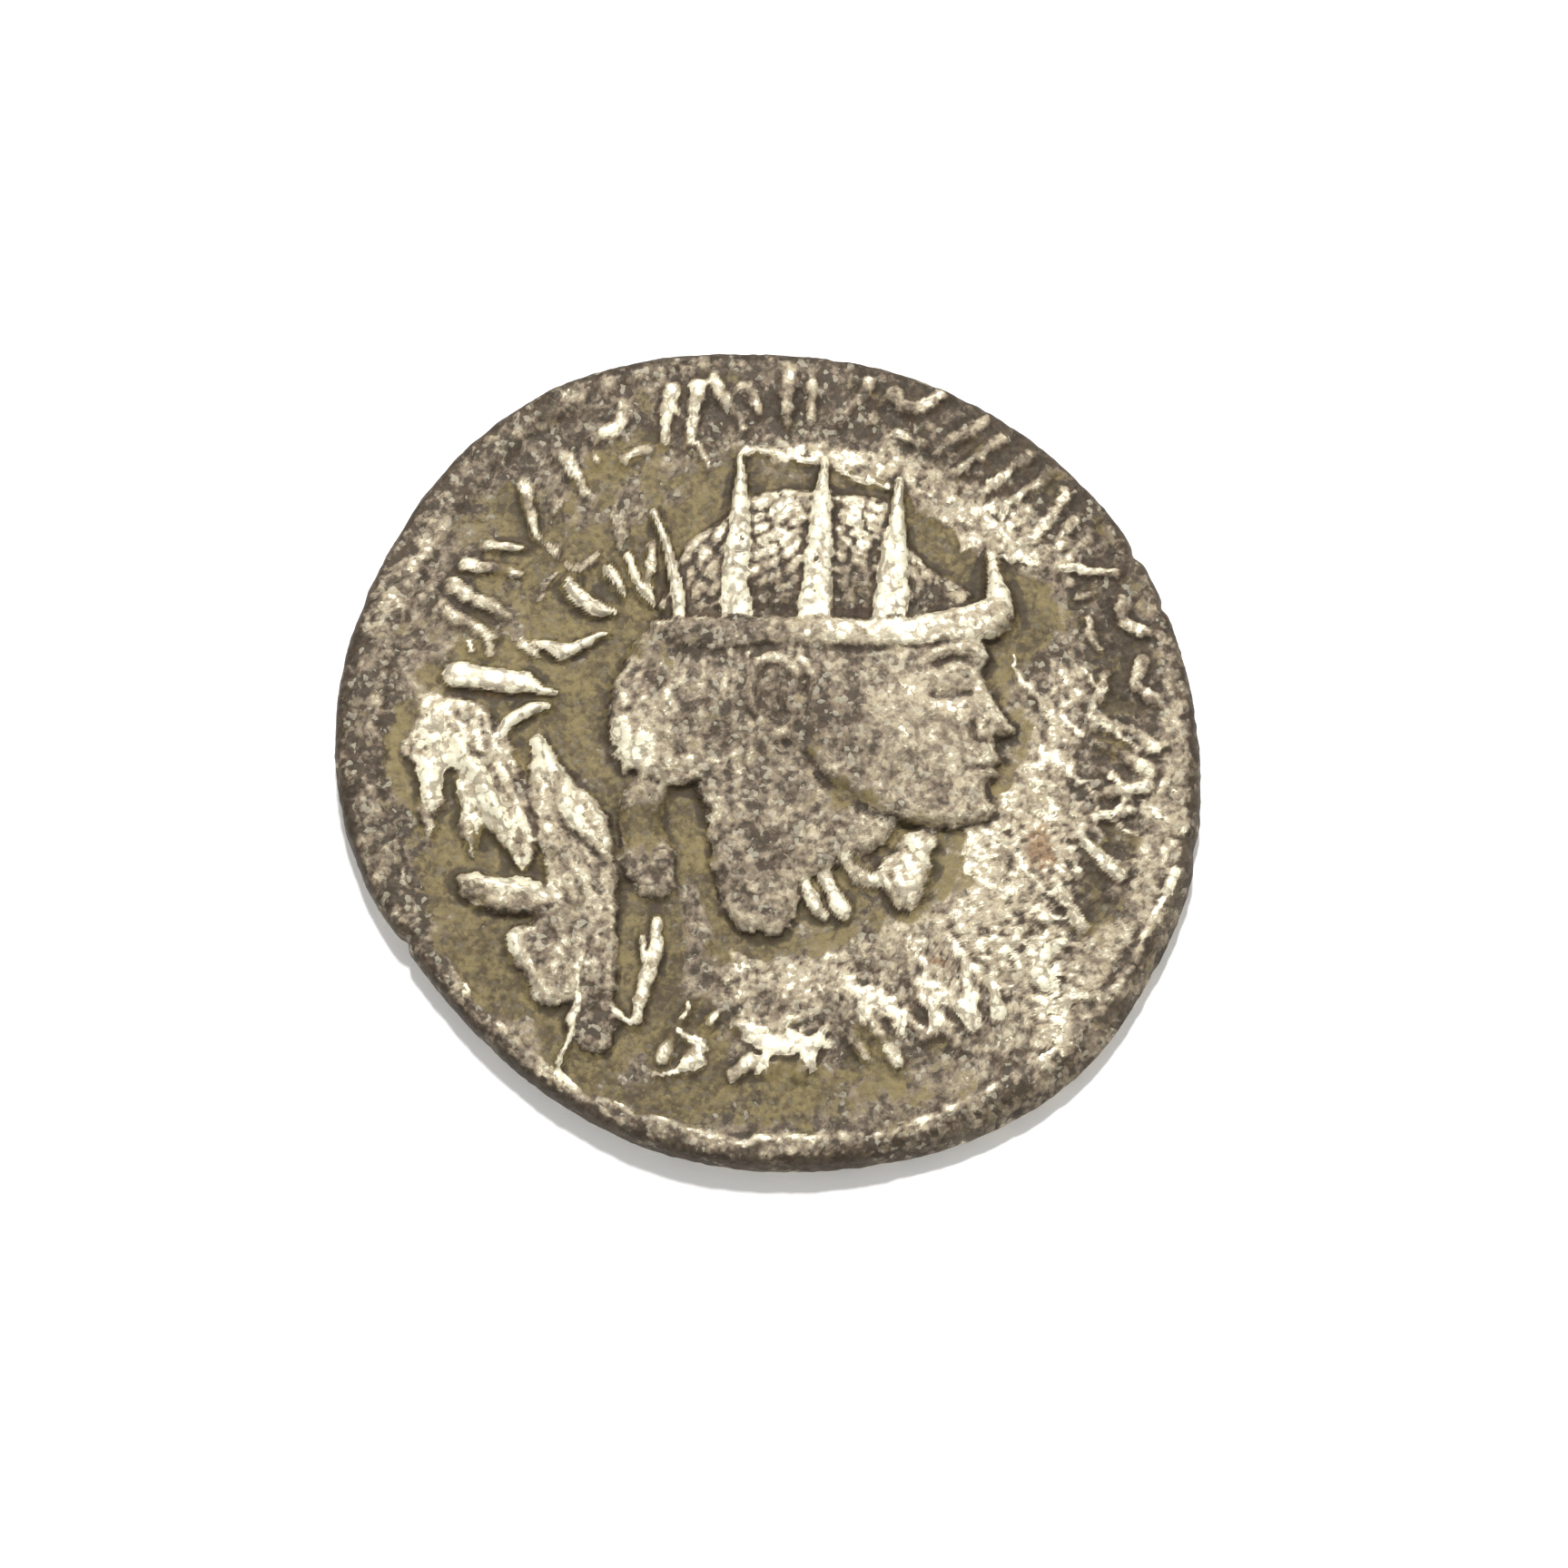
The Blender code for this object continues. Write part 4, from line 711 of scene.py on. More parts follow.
def marks_round(centre, radius, height, half_width, first, last, places):
    """Worn strokes in a ring: slanted pairs, uneven pairs, a tick with a pellet, and a leaning bow."""
    motifs = (
        (((-0.28, -0.5), (-0.1, 0.5)), ((0.18, -0.5), (0.36, 0.5))),
        (((-0.1, -0.5), (-0.22, 0.5)), ((0.3, -0.35), (0.22, 0.2))),
        (((-0.15, -0.45), (0.12, 0.45)), ((0.4, -0.2), (0.42, -0.12))),
        (((-0.35, 0.42), (0.0, 0.2), (0.38, 0.45)), ((-0.3, -0.3), (0.25, -0.42))),
    )
    strokes = []
    for place in range(places):
        angle = math.radians(first + (last - first) * (place + 0.5) / places)
        lean = angle + 0.3 * math.sin(2.3 * place)
        out = np.array([math.cos(lean), math.sin(lean)])
        side = np.array([out[1], -out[0]])
        middle = centre + radius * np.array([math.cos(angle), math.sin(angle)])
        for stroke in motifs[(place * 3 + place // 4) % len(motifs)]:
            strokes.append([
                (*(middle + side * across * height + out * up * height), half_width * (1 + 0.7 * up))
                for across, up in stroke
            ])
    return strokes


def hair_locks():
    """Short locks in rows that run down and back from the crown."""
    locks = []
    pole = np.array(HAIR_POLE)
    for row, reach in enumerate(np.arange(*LOCK_RINGS)):
        for turn in np.arange(*LOCK_TURNS, math.degrees(LOCK_SPACING / reach)):
            angle = math.radians(turn + 3.0 * (row % 2) + 2 * math.sin(turn * row))
            start = pole + reach * np.array([math.cos(angle), math.sin(angle)])
            end = pole + (reach + LOCK_LENGTH) * np.array([math.cos(angle + 0.05), math.sin(angle + 0.05)])
            bow = (start + end) / 2 + 0.06 * np.array([math.sin(angle), -math.cos(angle)])
            locks.append(((*start, 0.1), (*bow, 0.17), (*end, 0.06)))
    return locks


def hair_area(points):
    """1 over the hair below the crown's band: behind the temple, clear of the ear and down to the nape."""
    x, y = points.T
    behind = smoothstep(0.2, -0.2, x - 1.9 + 0.5 * np.clip(2.9 - y, 0, 3))
    ear = smoothstep(0.85, 1.1, np.hypot((x - 0.15) / 0.9, (y - 1.85) / 1.25))
    above = smoothstep(3.3, 3.1, y)
    return behind * ear * above * smoothstep(-0.75, -0.45, y + 0.1 * x)


def edge_radius(clock):
    """The flan's radius at each angle in radians: the departures joined by a smooth closed curve."""
    turns = np.arange(len(EDGE_DEPARTURE)) / len(EDGE_DEPARTURE)
    here = np.mod(clock / (2 * math.pi), 1) * len(turns)
    first = here.astype(int) % len(turns)
    t = here - np.floor(here)
    before, start, end, after = (np.roll(EDGE_DEPARTURE, 1 - step)[first] for step in range(4))
    bend = 2 * before - 5 * start + 4 * end - after
    twist = 3 * start - before - 3 * end + after
    return FLAN_RADIUS + 0.5 * (2 * start + (end - before) * t + bend * t**2 + twist * t**3)


def shear_lean(clock):
    """How far the sheared part of the edge leans out from top to bottom."""
    away = np.mod(clock - math.radians(SHEAR_CLOCK) + math.pi, 2 * math.pi) - math.pi
    return SHEAR_LEAN * np.exp(-((away / math.radians(SHEAR_SPREAD)) ** 2))


def edge_splits(clock):
    """How deep the small splits cut into the edge."""
    depth = np.zeros_like(clock)
    for middle, cut, width in EDGE_SPLITS:
        away = np.mod(np.degrees(clock) - middle + 180, 360) - 180
        depth += cut * np.exp(-((away / width) ** 2))
    return depth


def disc_grid(cells):
    """A square grid bent into a disc, its squares into rings: the share of the radius and the angle."""
    u, v = np.meshgrid(np.linspace(-1, 1, cells + 1), np.linspace(-1, 1, cells + 1))
    share = np.maximum(np.abs(u), np.abs(v))
    sideways = np.abs(u) >= np.abs(v)
    safe_u, safe_v = np.where(u == 0, 1, u), np.where(v == 0, 1, v)
    beside = math.pi / 4 * v / safe_u + math.pi * (u < 0)
    above = math.pi / 2 - math.pi / 4 * u / safe_v + math.pi * (v < 0)
    return share.ravel(), np.where(sideways, beside, above).ravel()


def grid_faces(cells):
    """The squares of the grid, anticlockwise."""
    corner = (np.arange(cells)[:, None] * (cells + 1) + np.arange(cells)).ravel()
    return np.stack([corner, corner + 1, corner + cells + 2, corner + cells + 1], 1)


def grid_border(cells):
    """The grid's outer points, anticlockwise from the angle of -45 degrees."""
    side = np.arange(cells)
    row = cells + 1
    return np.concatenate([
        side * row + cells, cells * row + cells - side, (cells - side) * row, side,
    ])


def bust_masses(points):
    """Height of the raised masses of the bust, the highest one where several meet."""
    bust = np.zeros(len(points))
    for knots, rise, shoulder, dome in MASSES:
        depth = depth_inside(points, knots)
        mass = rise * ((1 - dome) * rounded(depth / shoulder) + dome * rounded(depth / DOME_REACH))
        bust = np.maximum(bust, mass)
    return bust


def field_strokes(points, ragged_shift):
    """Height and brightness of the strokes that stand on the field."""
    height = np.zeros(len(points))
    gleam = np.zeros(len(points))
    for group, rise, flat, brightness, ragged in STROKE_GROUPS:
        for knots in group:
            share = share_of_stroke(points + ragged * ragged_shift, knots)
            height = np.maximum(height, rise * rounded(share / (1 - flat)))
            gleam = np.maximum(gleam, brightness * smoothstep(0.02, 0.25, share))
    return height, gleam * (1 - cover(points, BAND, 0.2))


def worn_legend(points):
    """The strokes round the bust, thinner on the right, crumbled at their edges and worn away in places."""
    crumbled = shifted(points, RAGGED_LEGEND, 0.35, 311)
    eaten = np.clip(0.25 + 0.75 * clouds(points, 0.28, 313), 0, 1)
    legend = np.zeros(len(points))
    for knots in marks_round(
        np.array(LEGEND_CENTRE), LEGEND_RADIUS, LEGEND_HEIGHT, LEGEND_STROKE,
        LEGEND_START, LEGEND_END, LEGEND_PLACES,
    ):
        width = LEGEND_THIN_WIDTH if knots[0][0] > LEGEND_THIN_FROM else LEGEND_WIDTH
        knots = [(a, b, half_width * width) for a, b, half_width in knots]
        legend = np.maximum(legend, rounded(share_of_stroke(crumbled, knots) * 2.6 - 0.9 * eaten))
    return legend * np.clip(0.8 + 0.5 * clouds(points, 1.3, 21), 0.1, 1.05)


def crown_tufts(points, uneven):
    """The short locks inside the crown: 1 on a lock and 0 between locks."""
    tufts = np.zeros(len(points))
    for start, turn, spacing, length, seed in CROWN_TUFTS:
        tufts = np.where(points[:, 0] >= start, bars(uneven, turn, spacing, length, seed), tufts)
    return tufts


def carve_head(laid, points, head, locks, below_crown):
    """Adds the carving of the head to what is laid over the masses."""
    for rise, knots in FACE:
        placed = [(FACE_X + FACE_THIRD * a, BROW_Y - FACE_THIRD * b, FACE_THIRD * w) for a, b, w in knots]
        laid += HEAD_CARVING * rise * ridge(points, placed, 0.12) * head
    for rise, knots in EAR:
        laid += rise * ridge(points, knots, 0.12) * head
    depth, knots = JAW_HOLLOW
    laid -= depth * ridge(points, knots)
    worn_away = 0.55 + 0.45 * clouds(points, 1.8, 31)
    laid += 0.09 * (locks - 0.3) * below_crown * head * np.clip(worn_away, 0.3, 1)
    for rise, x, y, radius in SWELLINGS:
        share = np.hypot(points[:, 0] - x, points[:, 1] - y) / radius
        laid += rise * np.clip(1 - share**2, 0, 1) ** 2 * head


def obverse_surface(points, depth_from_edge, shape):
    """Height above the field, and the masks of the finish and of the painted highlight and shade, at each
    point of the upper face.
    """
    x, y = points.T
    past_die = np.hypot(*(points - DIE_CENTRE).T) - DIE_RADIUS
    wander = 0.16 * clouds(points, 0.9, 3)
    rim = rounded((past_die + wander) / BORDER_STEP)
    lip = np.exp(-(((past_die - 0.05 + wander) / 0.08) ** 2))
    lip = lip * smoothstep(-0.5, 0.1, clouds(points, 0.8, 7))

    # The masses and strokes, their outlines shifted by corrosion except along the face and the crown
    profile = smoothstep(4.4, 5.2, x) * smoothstep(3.0, 2.6, y) * smoothstep(-2.0, -1.6, y)
    crisp = np.maximum(profile, smoothstep(2.6, 3.2, y))
    coarse = shifted(points, RAGGED_BUST, 0.5, 301)
    ragged_shift = coarse + shifted(points, RAGGED_FINE, 0.2, 305) - 2 * points
    bust = bust_masses(points + ragged_shift * (1 - 0.8 * crisp)[:, None])
    strokes, gleam = field_strokes(points, ragged_shift)
    raised = np.maximum(bust, strokes)
    open_field = smoothstep(0.08, 0.0, raised)
    legend = worn_legend(points)

    # What is laid over them: hair, cloth and the carving of the head
    hair = cover(points, CROWN_HAIR)
    head = cover(points, HEAD, step=0.12)
    cloth = np.maximum.reduce([cover(points, knots) for knots in (SHOULDER, CLOAK, LEAF_FOLD)])
    tufts = crown_tufts(points, points + 0.5 * ragged_shift)
    laid = 0.16 * hair * (tufts - 0.5) * smoothstep(3.9, 4.4, y)
    strands = bars(points, -62, 0.36, 2.4, 9)
    splinters = bars(points + 0.6 * ragged_shift, -66, 0.21, 1.3, 19)
    fibrous = cover(points, SHOULDER) + 0.5 * cover(points, CLOAK) + cover(points, THROAT_FOLD)
    fibrous = np.clip(fibrous, 0, 1) * smoothstep(-6.5, -3.0, y)
    laid += fibrous * (0.12 * (strands - 0.5) + 0.08 * (splinters - 0.5))
    for rise, knots in CLOTH_FOLDS:
        laid += rise * ridge(points, knots) * cloth
    locks = np.maximum.reduce([ridge(points, knots) for knots in hair_locks()])
    below_crown = hair_area(points)
    carve_head(laid, points, head, locks, below_crown)

    ragged = shifted(points, RAGGED_CRUST, 0.8, 41)
    crust = np.maximum.reduce([smoothstep(0, 0.22, depth_inside(ragged, knots)) for knots in CRUST])
    field_crust = crust * open_field

    height = np.maximum(np.maximum(RIM_RISE * rim, shape.legend_rise / MM * legend), raised) + laid
    height -= EDGE_DIP * np.clip(1 - depth_from_edge / EDGE_DIP_REACH, 0, 1) ** 2
    height += CRUST_RISE * crust * open_field
    height = blurred(height, shape.wear_passes)

    # The film lies in the hollows of the field and round what stands on it
    # Dark patches: toned metal, and one painted shadow under the leaf fold
    stains_and_shadow = patches(points, DARK_PATCHES)
    moat = smoothstep(0.0, 0.14, blurred(raised > 0.12, 120))
    film = (0.75 * moat + patches(points, OLIVE_PATCHES)) * open_field
    film = film * (1 - 0.8 * crust) * (1 - 0.8 * legend)
    from_legend = np.hypot(*(points - LEGEND_CENTRE).T) - LEGEND_RADIUS
    ring = smoothstep(1.2, 0.7, np.abs(from_legend)) * (1 - legend) * open_field
    gaps = ring * smoothstep(-0.1, 0.4, clouds(points, 1.2, 77) + 0.4 * stains_and_shadow)
    film = film + 0.4 * gaps + 0.45 * clouds(points, 0.9, 71)
    film = smoothstep(0.0, 1.0, film + patches(points, RAISED_OLIVE_PATCHES)) * (1 - rim)
    bare = 1 - film

    # Grain, waves and the broken lip of the border
    rough = clouds(points, GRAIN, 51)
    dome, tone = pebbles(points, PEBBLE, 61)
    face = smoothstep(1.2, 2.6, x + 0.3 * y) * head
    grain = (0.3 + 0.7 * bare) * (1 - 0.6 * np.clip(gleam, 0, 1)) * (1 + 0.6 * crust * open_field)
    height = height + shape.grain_rise / MM * (grain * (1 - 0.6 * face)) * (0.7 * rough + 1.3 * dome)
    height = height + 0.012 * clouds(points, 2.6, 81)
    low_side = smoothstep(-1.0, 1.0, -y - 2)
    height = height + 0.07 * lip * low_side * (0.7 + 0.6 * rough)

    # What the relief says: hollows, bulges, narrow crevices, feet of what is raised, and slopes up and down
    cavity = blurred(height, 14) - height
    hollow = smoothstep(0.0, 0.05, cavity)
    bulge = smoothstep(0.0, 0.05, -cavity)
    crevice = smoothstep(0.0, 0.016, blurred(height, 3) - height)
    slope = rise_along_y(blurred(height, 6), points)
    foot = np.exp(-(((np.maximum(raised, 0.2 * legend) - 0.05) / 0.045) ** 2))
    # Painted shade: the dark band at the foot of what is raised is partly a deposit all round, and mostly
    # shade on the lower side, which faces away from the lamp
    foot = foot * (0.3 + 0.7 * smoothstep(-0.25, 0.35, slope))
    broken = np.clip(0.6 + 0.7 * clouds(points, 0.6, 91), 0, 1)
    dark_rim = rim * (0.25 + 0.75 * smoothstep(7.0, -3.0, x))

    ground = GLEAM_GROUND + patches(points, BRIGHT_PATCHES) - stains_and_shadow * (1 - 0.8 * legend)
    bold = 0.42 + 0.3 * smoothstep(-3.0, -6.0, y) + 0.4 * smoothstep(6.0, 8.0, y)
    rim_specks = smoothstep(0.1, 0.5, clouds(points, 0.42, 93))
    # Painted highlight: slopes that face +Y, towards the lamp, are made brighter in colour
    gleam = np.maximum(gleam, ground) + PAINTED_HIGHLIGHT_UPPER_SLOPE * smoothstep(0.15, 0.6, -slope) * bare
    gleam += GLEAM_BULGE * bulge * broken + GLEAM_CRUST * field_crust + bold * legend * broken
    gleam += GLEAM_TUFT * hair * (tufts - 0.5) * smoothstep(4.2, 5.4, y)
    gleam += GLEAM_LOCK * (locks - 0.35) * below_crown * head
    gleam += fibrous * (0.45 * strands + 0.3 * splinters - 0.35)
    # Painted highlight: the border's lip is brightened only on the low side, where its step faces the lamp
    gleam += PAINTED_HIGHLIGHT_LIP * lip * low_side * broken + GLEAM_PEBBLE * tone * (1 - 0.5 * face)
    gleam += rim * (GLEAM_RIM_SPECK * rim_specks + 0.05 - 0.12 * low_side) - 0.1 * dark_rim
    gleam -= LOSS_GAP * gaps + LOSS_CAVITY * hollow * broken + LOSS_CREVICE * crevice * bare
    gleam -= PAINTED_SHADE_FOOT_LOSS * foot * broken

    soot_and_shade = smoothstep(0.0, 0.06, cavity) * broken + SOOT_STAIN_AND_SHADOW * stains_and_shadow + SOOT_RIM * rim
    soot_and_shade += SOOT_CREVICE * crevice * bare + SOOT_TUFT * hair * smoothstep(0.4, 0.0, tufts)
    soot_and_shade += SOOT_GAP * gaps + SOOT_DARK_RIM * dark_rim * smoothstep(0.1, 0.5, clouds(points, 0.6, 95))
    soot_and_shade += PAINTED_SHADE_FOOT_DARK * foot * broken
    soot_and_shade *= (1 - 0.7 * cloth) * (1 - 0.2 * field_crust)
    masks = {
        "film": film,
        "gleam": np.clip(gleam, 0, 1.4),
        "soot_and_shade": np.clip(soot_and_shade, 0, 1),
        "rust": np.clip(patches(points, RUST_PATCHES), 0, 1),
    }
    return height, masks


def to_reverse_die(points):
    """The reverse as seen from below, turned to its own upright."""
    turn = math.radians(REVERSE_TURN)
    across = -(points[:, 0] - REVERSE_CENTRE[0])
    up = points[:, 1] - REVERSE_CENTRE[1]
    return np.stack(
        [across * math.cos(turn) + up * math.sin(turn), up * math.cos(turn) - across * math.sin(turn)], 1
    )


def reverse_surface(points, shape):
    """Height above the reverse's field, and the masks of the finish. Its high parts are worn level."""
    drawn = to_reverse_die(points)
    across, up = drawn.T
    rim = rounded((np.hypot(across, up) - REVERSE_RADIUS + REVERSE_BORDER_INSET) / BORDER_STEP)
    height = REVERSE_DEPTH * rim
    gown = depth_inside(drawn, REVERSE_GOWN)
    for depth in (gown, depth_inside(drawn, REVERSE_HEAD)):
        height = np.maximum(height, REVERSE_DEPTH * rounded(depth / REVERSE_SHOULDER))
    folds = np.cos((across / (1.0 + 0.06 * (4.0 - up))) * 9.0 + 0.5 * np.sin(up))
    belt = np.exp(-(((up - 1.6) / 0.16) ** 2))
    height -= rounded(gown / 0.6) * (0.035 * smoothstep(0.3, 1.0, folds) + 0.04 * belt)
    marks = marks_round(
        np.zeros(2), REVERSE_LEGEND_RADIUS, LEGEND_HEIGHT, REVERSE_STROKE,
        REVERSE_LEGEND_START, REVERSE_LEGEND_END, REVERSE_PLACES,
    )
    for knots in (*REVERSE_LIMBS, *marks):
        height = np.maximum(height, REVERSE_DEPTH * ridge(drawn, knots))
    height = blurred(height, shape.wear_passes)
    cavity = blurred(height, 8) - height
    rough = clouds(points, GRAIN * 1.4, 151)
    low = 1 - smoothstep(0.03, 0.11, height)
    height = np.minimum(height, REVERSE_DEPTH) - 0.018 * np.abs(rough) * (0.3 + low)
    film = low * smoothstep(-0.3, 0.3, clouds(points, 2.0, 171))
    masks = {
        "film": film,
        "gleam": np.clip(0.75 * (1 - low) + 0.3 * clouds(points, 1.6, 181) - 0.3 * film, 0, 1.2),
        "soot_and_shade": np.clip(smoothstep(0.01, 0.05, cavity) + 0.3 * rim * clouds(points, 2.2, 191), 0, 1),
        "rust": np.clip(0.8 * clouds(points, 3.0, 201) - 0.35, 0, 1),
    }
    return np.clip(height, 0, REVERSE_DEPTH), masks


def on_edge(clock, inset):
    """Points on the flan's edge, moved in from it."""
    radius = edge_radius(clock) - inset
    return np.stack([radius * np.cos(clock), radius * np.sin(clock)], 1)


def flan_middle():
    """The middle of the flan's box, in drawing millimetres."""
    outer = on_edge(np.arange(0, 2 * math.pi, math.radians(0.25)), 0)
    return (outer.min(axis=0) + outer.max(axis=0)) / 2


def disc_points(cells, leaning):
    """The points of a face, drawn in by the edge's rounding, and how far each is from the face's edge."""
    share, clock = disc_grid(cells)
    radius = edge_radius(clock) - EDGE_ROUNDING - leaning * shear_lean(clock) - edge_splits(clock)
    flat = np.stack([share * radius * np.cos(clock), share * radius * np.sin(clock)], 1)
    return flat, (1 - share) * radius


def edge_row(clock, level, upper_z):
    """One row of points down the edge: its share of the height, with its swell, lean, splits and dents."""
    swell = 1 - math.sqrt(1 - abs(2 * level - 1) ** EDGE_FULLNESS)
    lean = max(0, 2 * level - 1) * shear_lean(clock)
    flat = on_edge(clock, EDGE_ROUNDING * swell + lean + edge_splits(clock))
    dents = 0.05 * np.abs(clouds(flat + level, 0.9, 211)) + 0.02 * np.abs(mottle(flat + level, 0.3, 221))
    flat *= (1 - dents / FLAN_RADIUS)[:, None]
    return np.column_stack([flat, REVERSE_EDGE_LIFT + (upper_z - REVERSE_EDGE_LIFT) * level])


def coin_surface(shape):
    """The two faces as discs, joined by rows down the edge: points, faces and masks of one closed skin."""
    flat, depth = disc_points(TOP_CELLS, 1)
    height, top_masks = obverse_surface(flat, depth, shape)
    top = np.column_stack([flat, FIELD_THICKNESS + height])

    flat, depth = disc_points(UNDER_CELLS, 0)
    height, low_masks = reverse_surface(flat, shape)
    lip = smoothstep(0, REVERSE_LIP, depth)
    low = np.column_stack([flat, REVERSE_EDGE_LIFT * (1 - lip) + (REVERSE_DEPTH - height) * lip])

    top_border, low_border = grid_border(TOP_CELLS), grid_border(UNDER_CELLS)
    steps = len(top_border)
    clock = -math.pi / 4 + np.arange(steps) * 2 * math.pi / steps
    rows = [edge_row(clock, level, top[top_border, 2]) for level in EDGE_LEVELS]
    points = np.vstack([top, *rows, low])

    first_row = len(top)
    first_low = first_row + steps * len(rows)
    loops = [top_border, *(first_row + steps * row + np.arange(steps) for row in range(len(rows)))]
    faces = grid_faces(TOP_CELLS).tolist()
    for upper, lower in zip(loops, loops[1:]):
        faces += np.stack([upper, lower, np.roll(lower, -1), np.roll(upper, -1)], 1).tolist()
    # The under face has half as many border points, so its last row is of five-sided faces
    upper, lower = loops[-1], first_low + low_border
    faces += np.stack(
        [upper[::2], lower, np.roll(lower, -1), np.roll(upper, -2)[::2], upper[1::2]], 1
    ).tolist()
    faces += (first_low + grid_faces(UNDER_CELLS)[:, ::-1]).tolist()

    flat = np.vstack(rows)[:, :2]
    sheared = np.tile(shear_lean(clock) / SHEAR_LEAN, len(rows))
    # Painted shade: the edge wall is coloured dark brown all round, and lighter where the sheared part leans
    # out towards the lamp
    side = {
        "film": np.full(len(flat), 0.15),
        "gleam": np.clip(0.35 * clouds(flat, 1.2, 231) + 0.25 * sheared, 0, 1),
        "soot_and_shade": np.clip(0.95 + 0.4 * clouds(flat, 0.8, 241) - 0.5 * sheared, 0, 1.2),
        "rust": np.zeros(len(flat)),
    }
    masks = {name: np.concatenate([top_masks[name], side[name], low_masks[name]]) for name in side}
    return points, faces, masks


def make_coin(shape):
    """Puts the closed skin into a mesh, centred as the frame's node is and held inside its box."""
    points, faces, masks = coin_surface(shape)
    points[:, :2] -= flan_middle()
    points = np.clip(points * MM, np.array(CAD_LOW), np.array(CAD_HIGH))
    mesh = bpy.data.meshes.new("struck_coin")
    mesh.from_pydata(points, [], faces)
    for name, values in masks.items():
        layer = mesh.attributes.new(name, "FLOAT", "POINT")
        layer.data.foreach_set("value", values.astype(np.float32))
    mesh.shade_smooth()
    mesh.update()
    coin = bpy.data.objects.new("struck_coin", mesh)
    bpy.context.scene.collection.objects.link(coin)
    return coin


class Wire:
    """A node's output, so that shader maths reads as an expression."""

    def __init__(self, finish, socket):
        self.finish = finish
        self.socket = socket

    def maths(self, operation, *values):
        return self.finish.node("ShaderNodeMath", {"operation": operation}, dict(enumerate(values)))

    def __add__(self, other):
        return self.maths("ADD", self, other)

    def __sub__(self, other):
        return self.maths("SUBTRACT", self, other)

    def __rsub__(self, other):
        return self.maths("SUBTRACT", other, self)

    def __mul__(self, other):
        return self.maths("MULTIPLY", self, other)

    __radd__ = __add__
    __rmul__ = __mul__

    def ramp(self, low, high):
        """0 at `low`, 1 at `high`, held beyond them, with an S curve between."""
        return self.finish.node(
            "ShaderNodeMapRange", {"interpolation_type": "SMOOTHSTEP"}, {0: self, 1: low, 2: high}
        )


class Finish:
    """A material's node tree."""

    def __init__(self, name):
        self.material = bpy.data.materials.new(name)
        self.material.use_nodes = True
        self.tree = self.material.node_tree
        self.shader = self.tree.nodes["Principled BSDF"]
        self.place = None

    def feed(self, socket, value):
        if isinstance(value, Wire):
            self.tree.links.new(value.socket, socket)
        else:
            socket.default_value = value

    def node(self, kind, settings, values, output=0):
        """A node of any type: its settings first, then the values or links of its sockets."""
        node = self.tree.nodes.new(kind)
        for name, value in settings.items():
            setattr(node, name, value)
        for name, value in values.items():
            self.feed(node.inputs[name], value)
        return Wire(self, node.outputs[output])

    def mask(self, name):
        return self.node("ShaderNodeAttribute", {"attribute_name": name}, {}, "Fac")

    def noise(self, size, detail=2.0, roughness=0.5, distortion=0.0):
        """Noise from 0 to 1 whose blotches are about `size` millimetres across."""
        if self.place is None:
            self.place = self.node("ShaderNodeTexCoord", {}, {}, "Object")
        return self.node(
            "ShaderNodeTexNoise", {},
            {"Vector": self.place, "Scale": 0.5 / (size * MM), "Detail": detail, "Roughness": roughness,
             "Distortion": distortion},
            "Fac",
        )

    def chips(self, size, bend):
        """Angular chips about `size` millimetres across, bent by a noise: each one's tone and its rim."""
        bent = self.node(
            "ShaderNodeVectorMath", {"operation": "ADD"}, {0: self.place, 1: bend * (0.9 * size * MM)}
        )
        cells = self.node("ShaderNodeTexVoronoi", {}, {"Vector": bent, "Scale": 1 / (size * MM)}, "Color")
        tone = self.node("ShaderNodeSeparateColor", {}, {"Color": cells}, "Red")
        return tone, Wire(self, cells.socket.node.outputs["Distance"])

    def blend(self, factor, first, second):
        """A colour between two."""
        node = self.tree.nodes.new("ShaderNodeMix")
        node.data_type = "RGBA"
        self.feed(node.inputs["Factor"], factor)
        for socket, value in ((node.inputs[6], first), (node.inputs[7], second)):
            self.feed(socket, value if isinstance(value, Wire) else (*value, 1.0))
        return Wire(self, node.outputs[2])

    def set(self, **values):
        """Sets sockets of the shader by name, with an underscore for a space."""
        for name, value in values.items():
            self.feed(self.shader.inputs[name.replace("_", " ")], value)


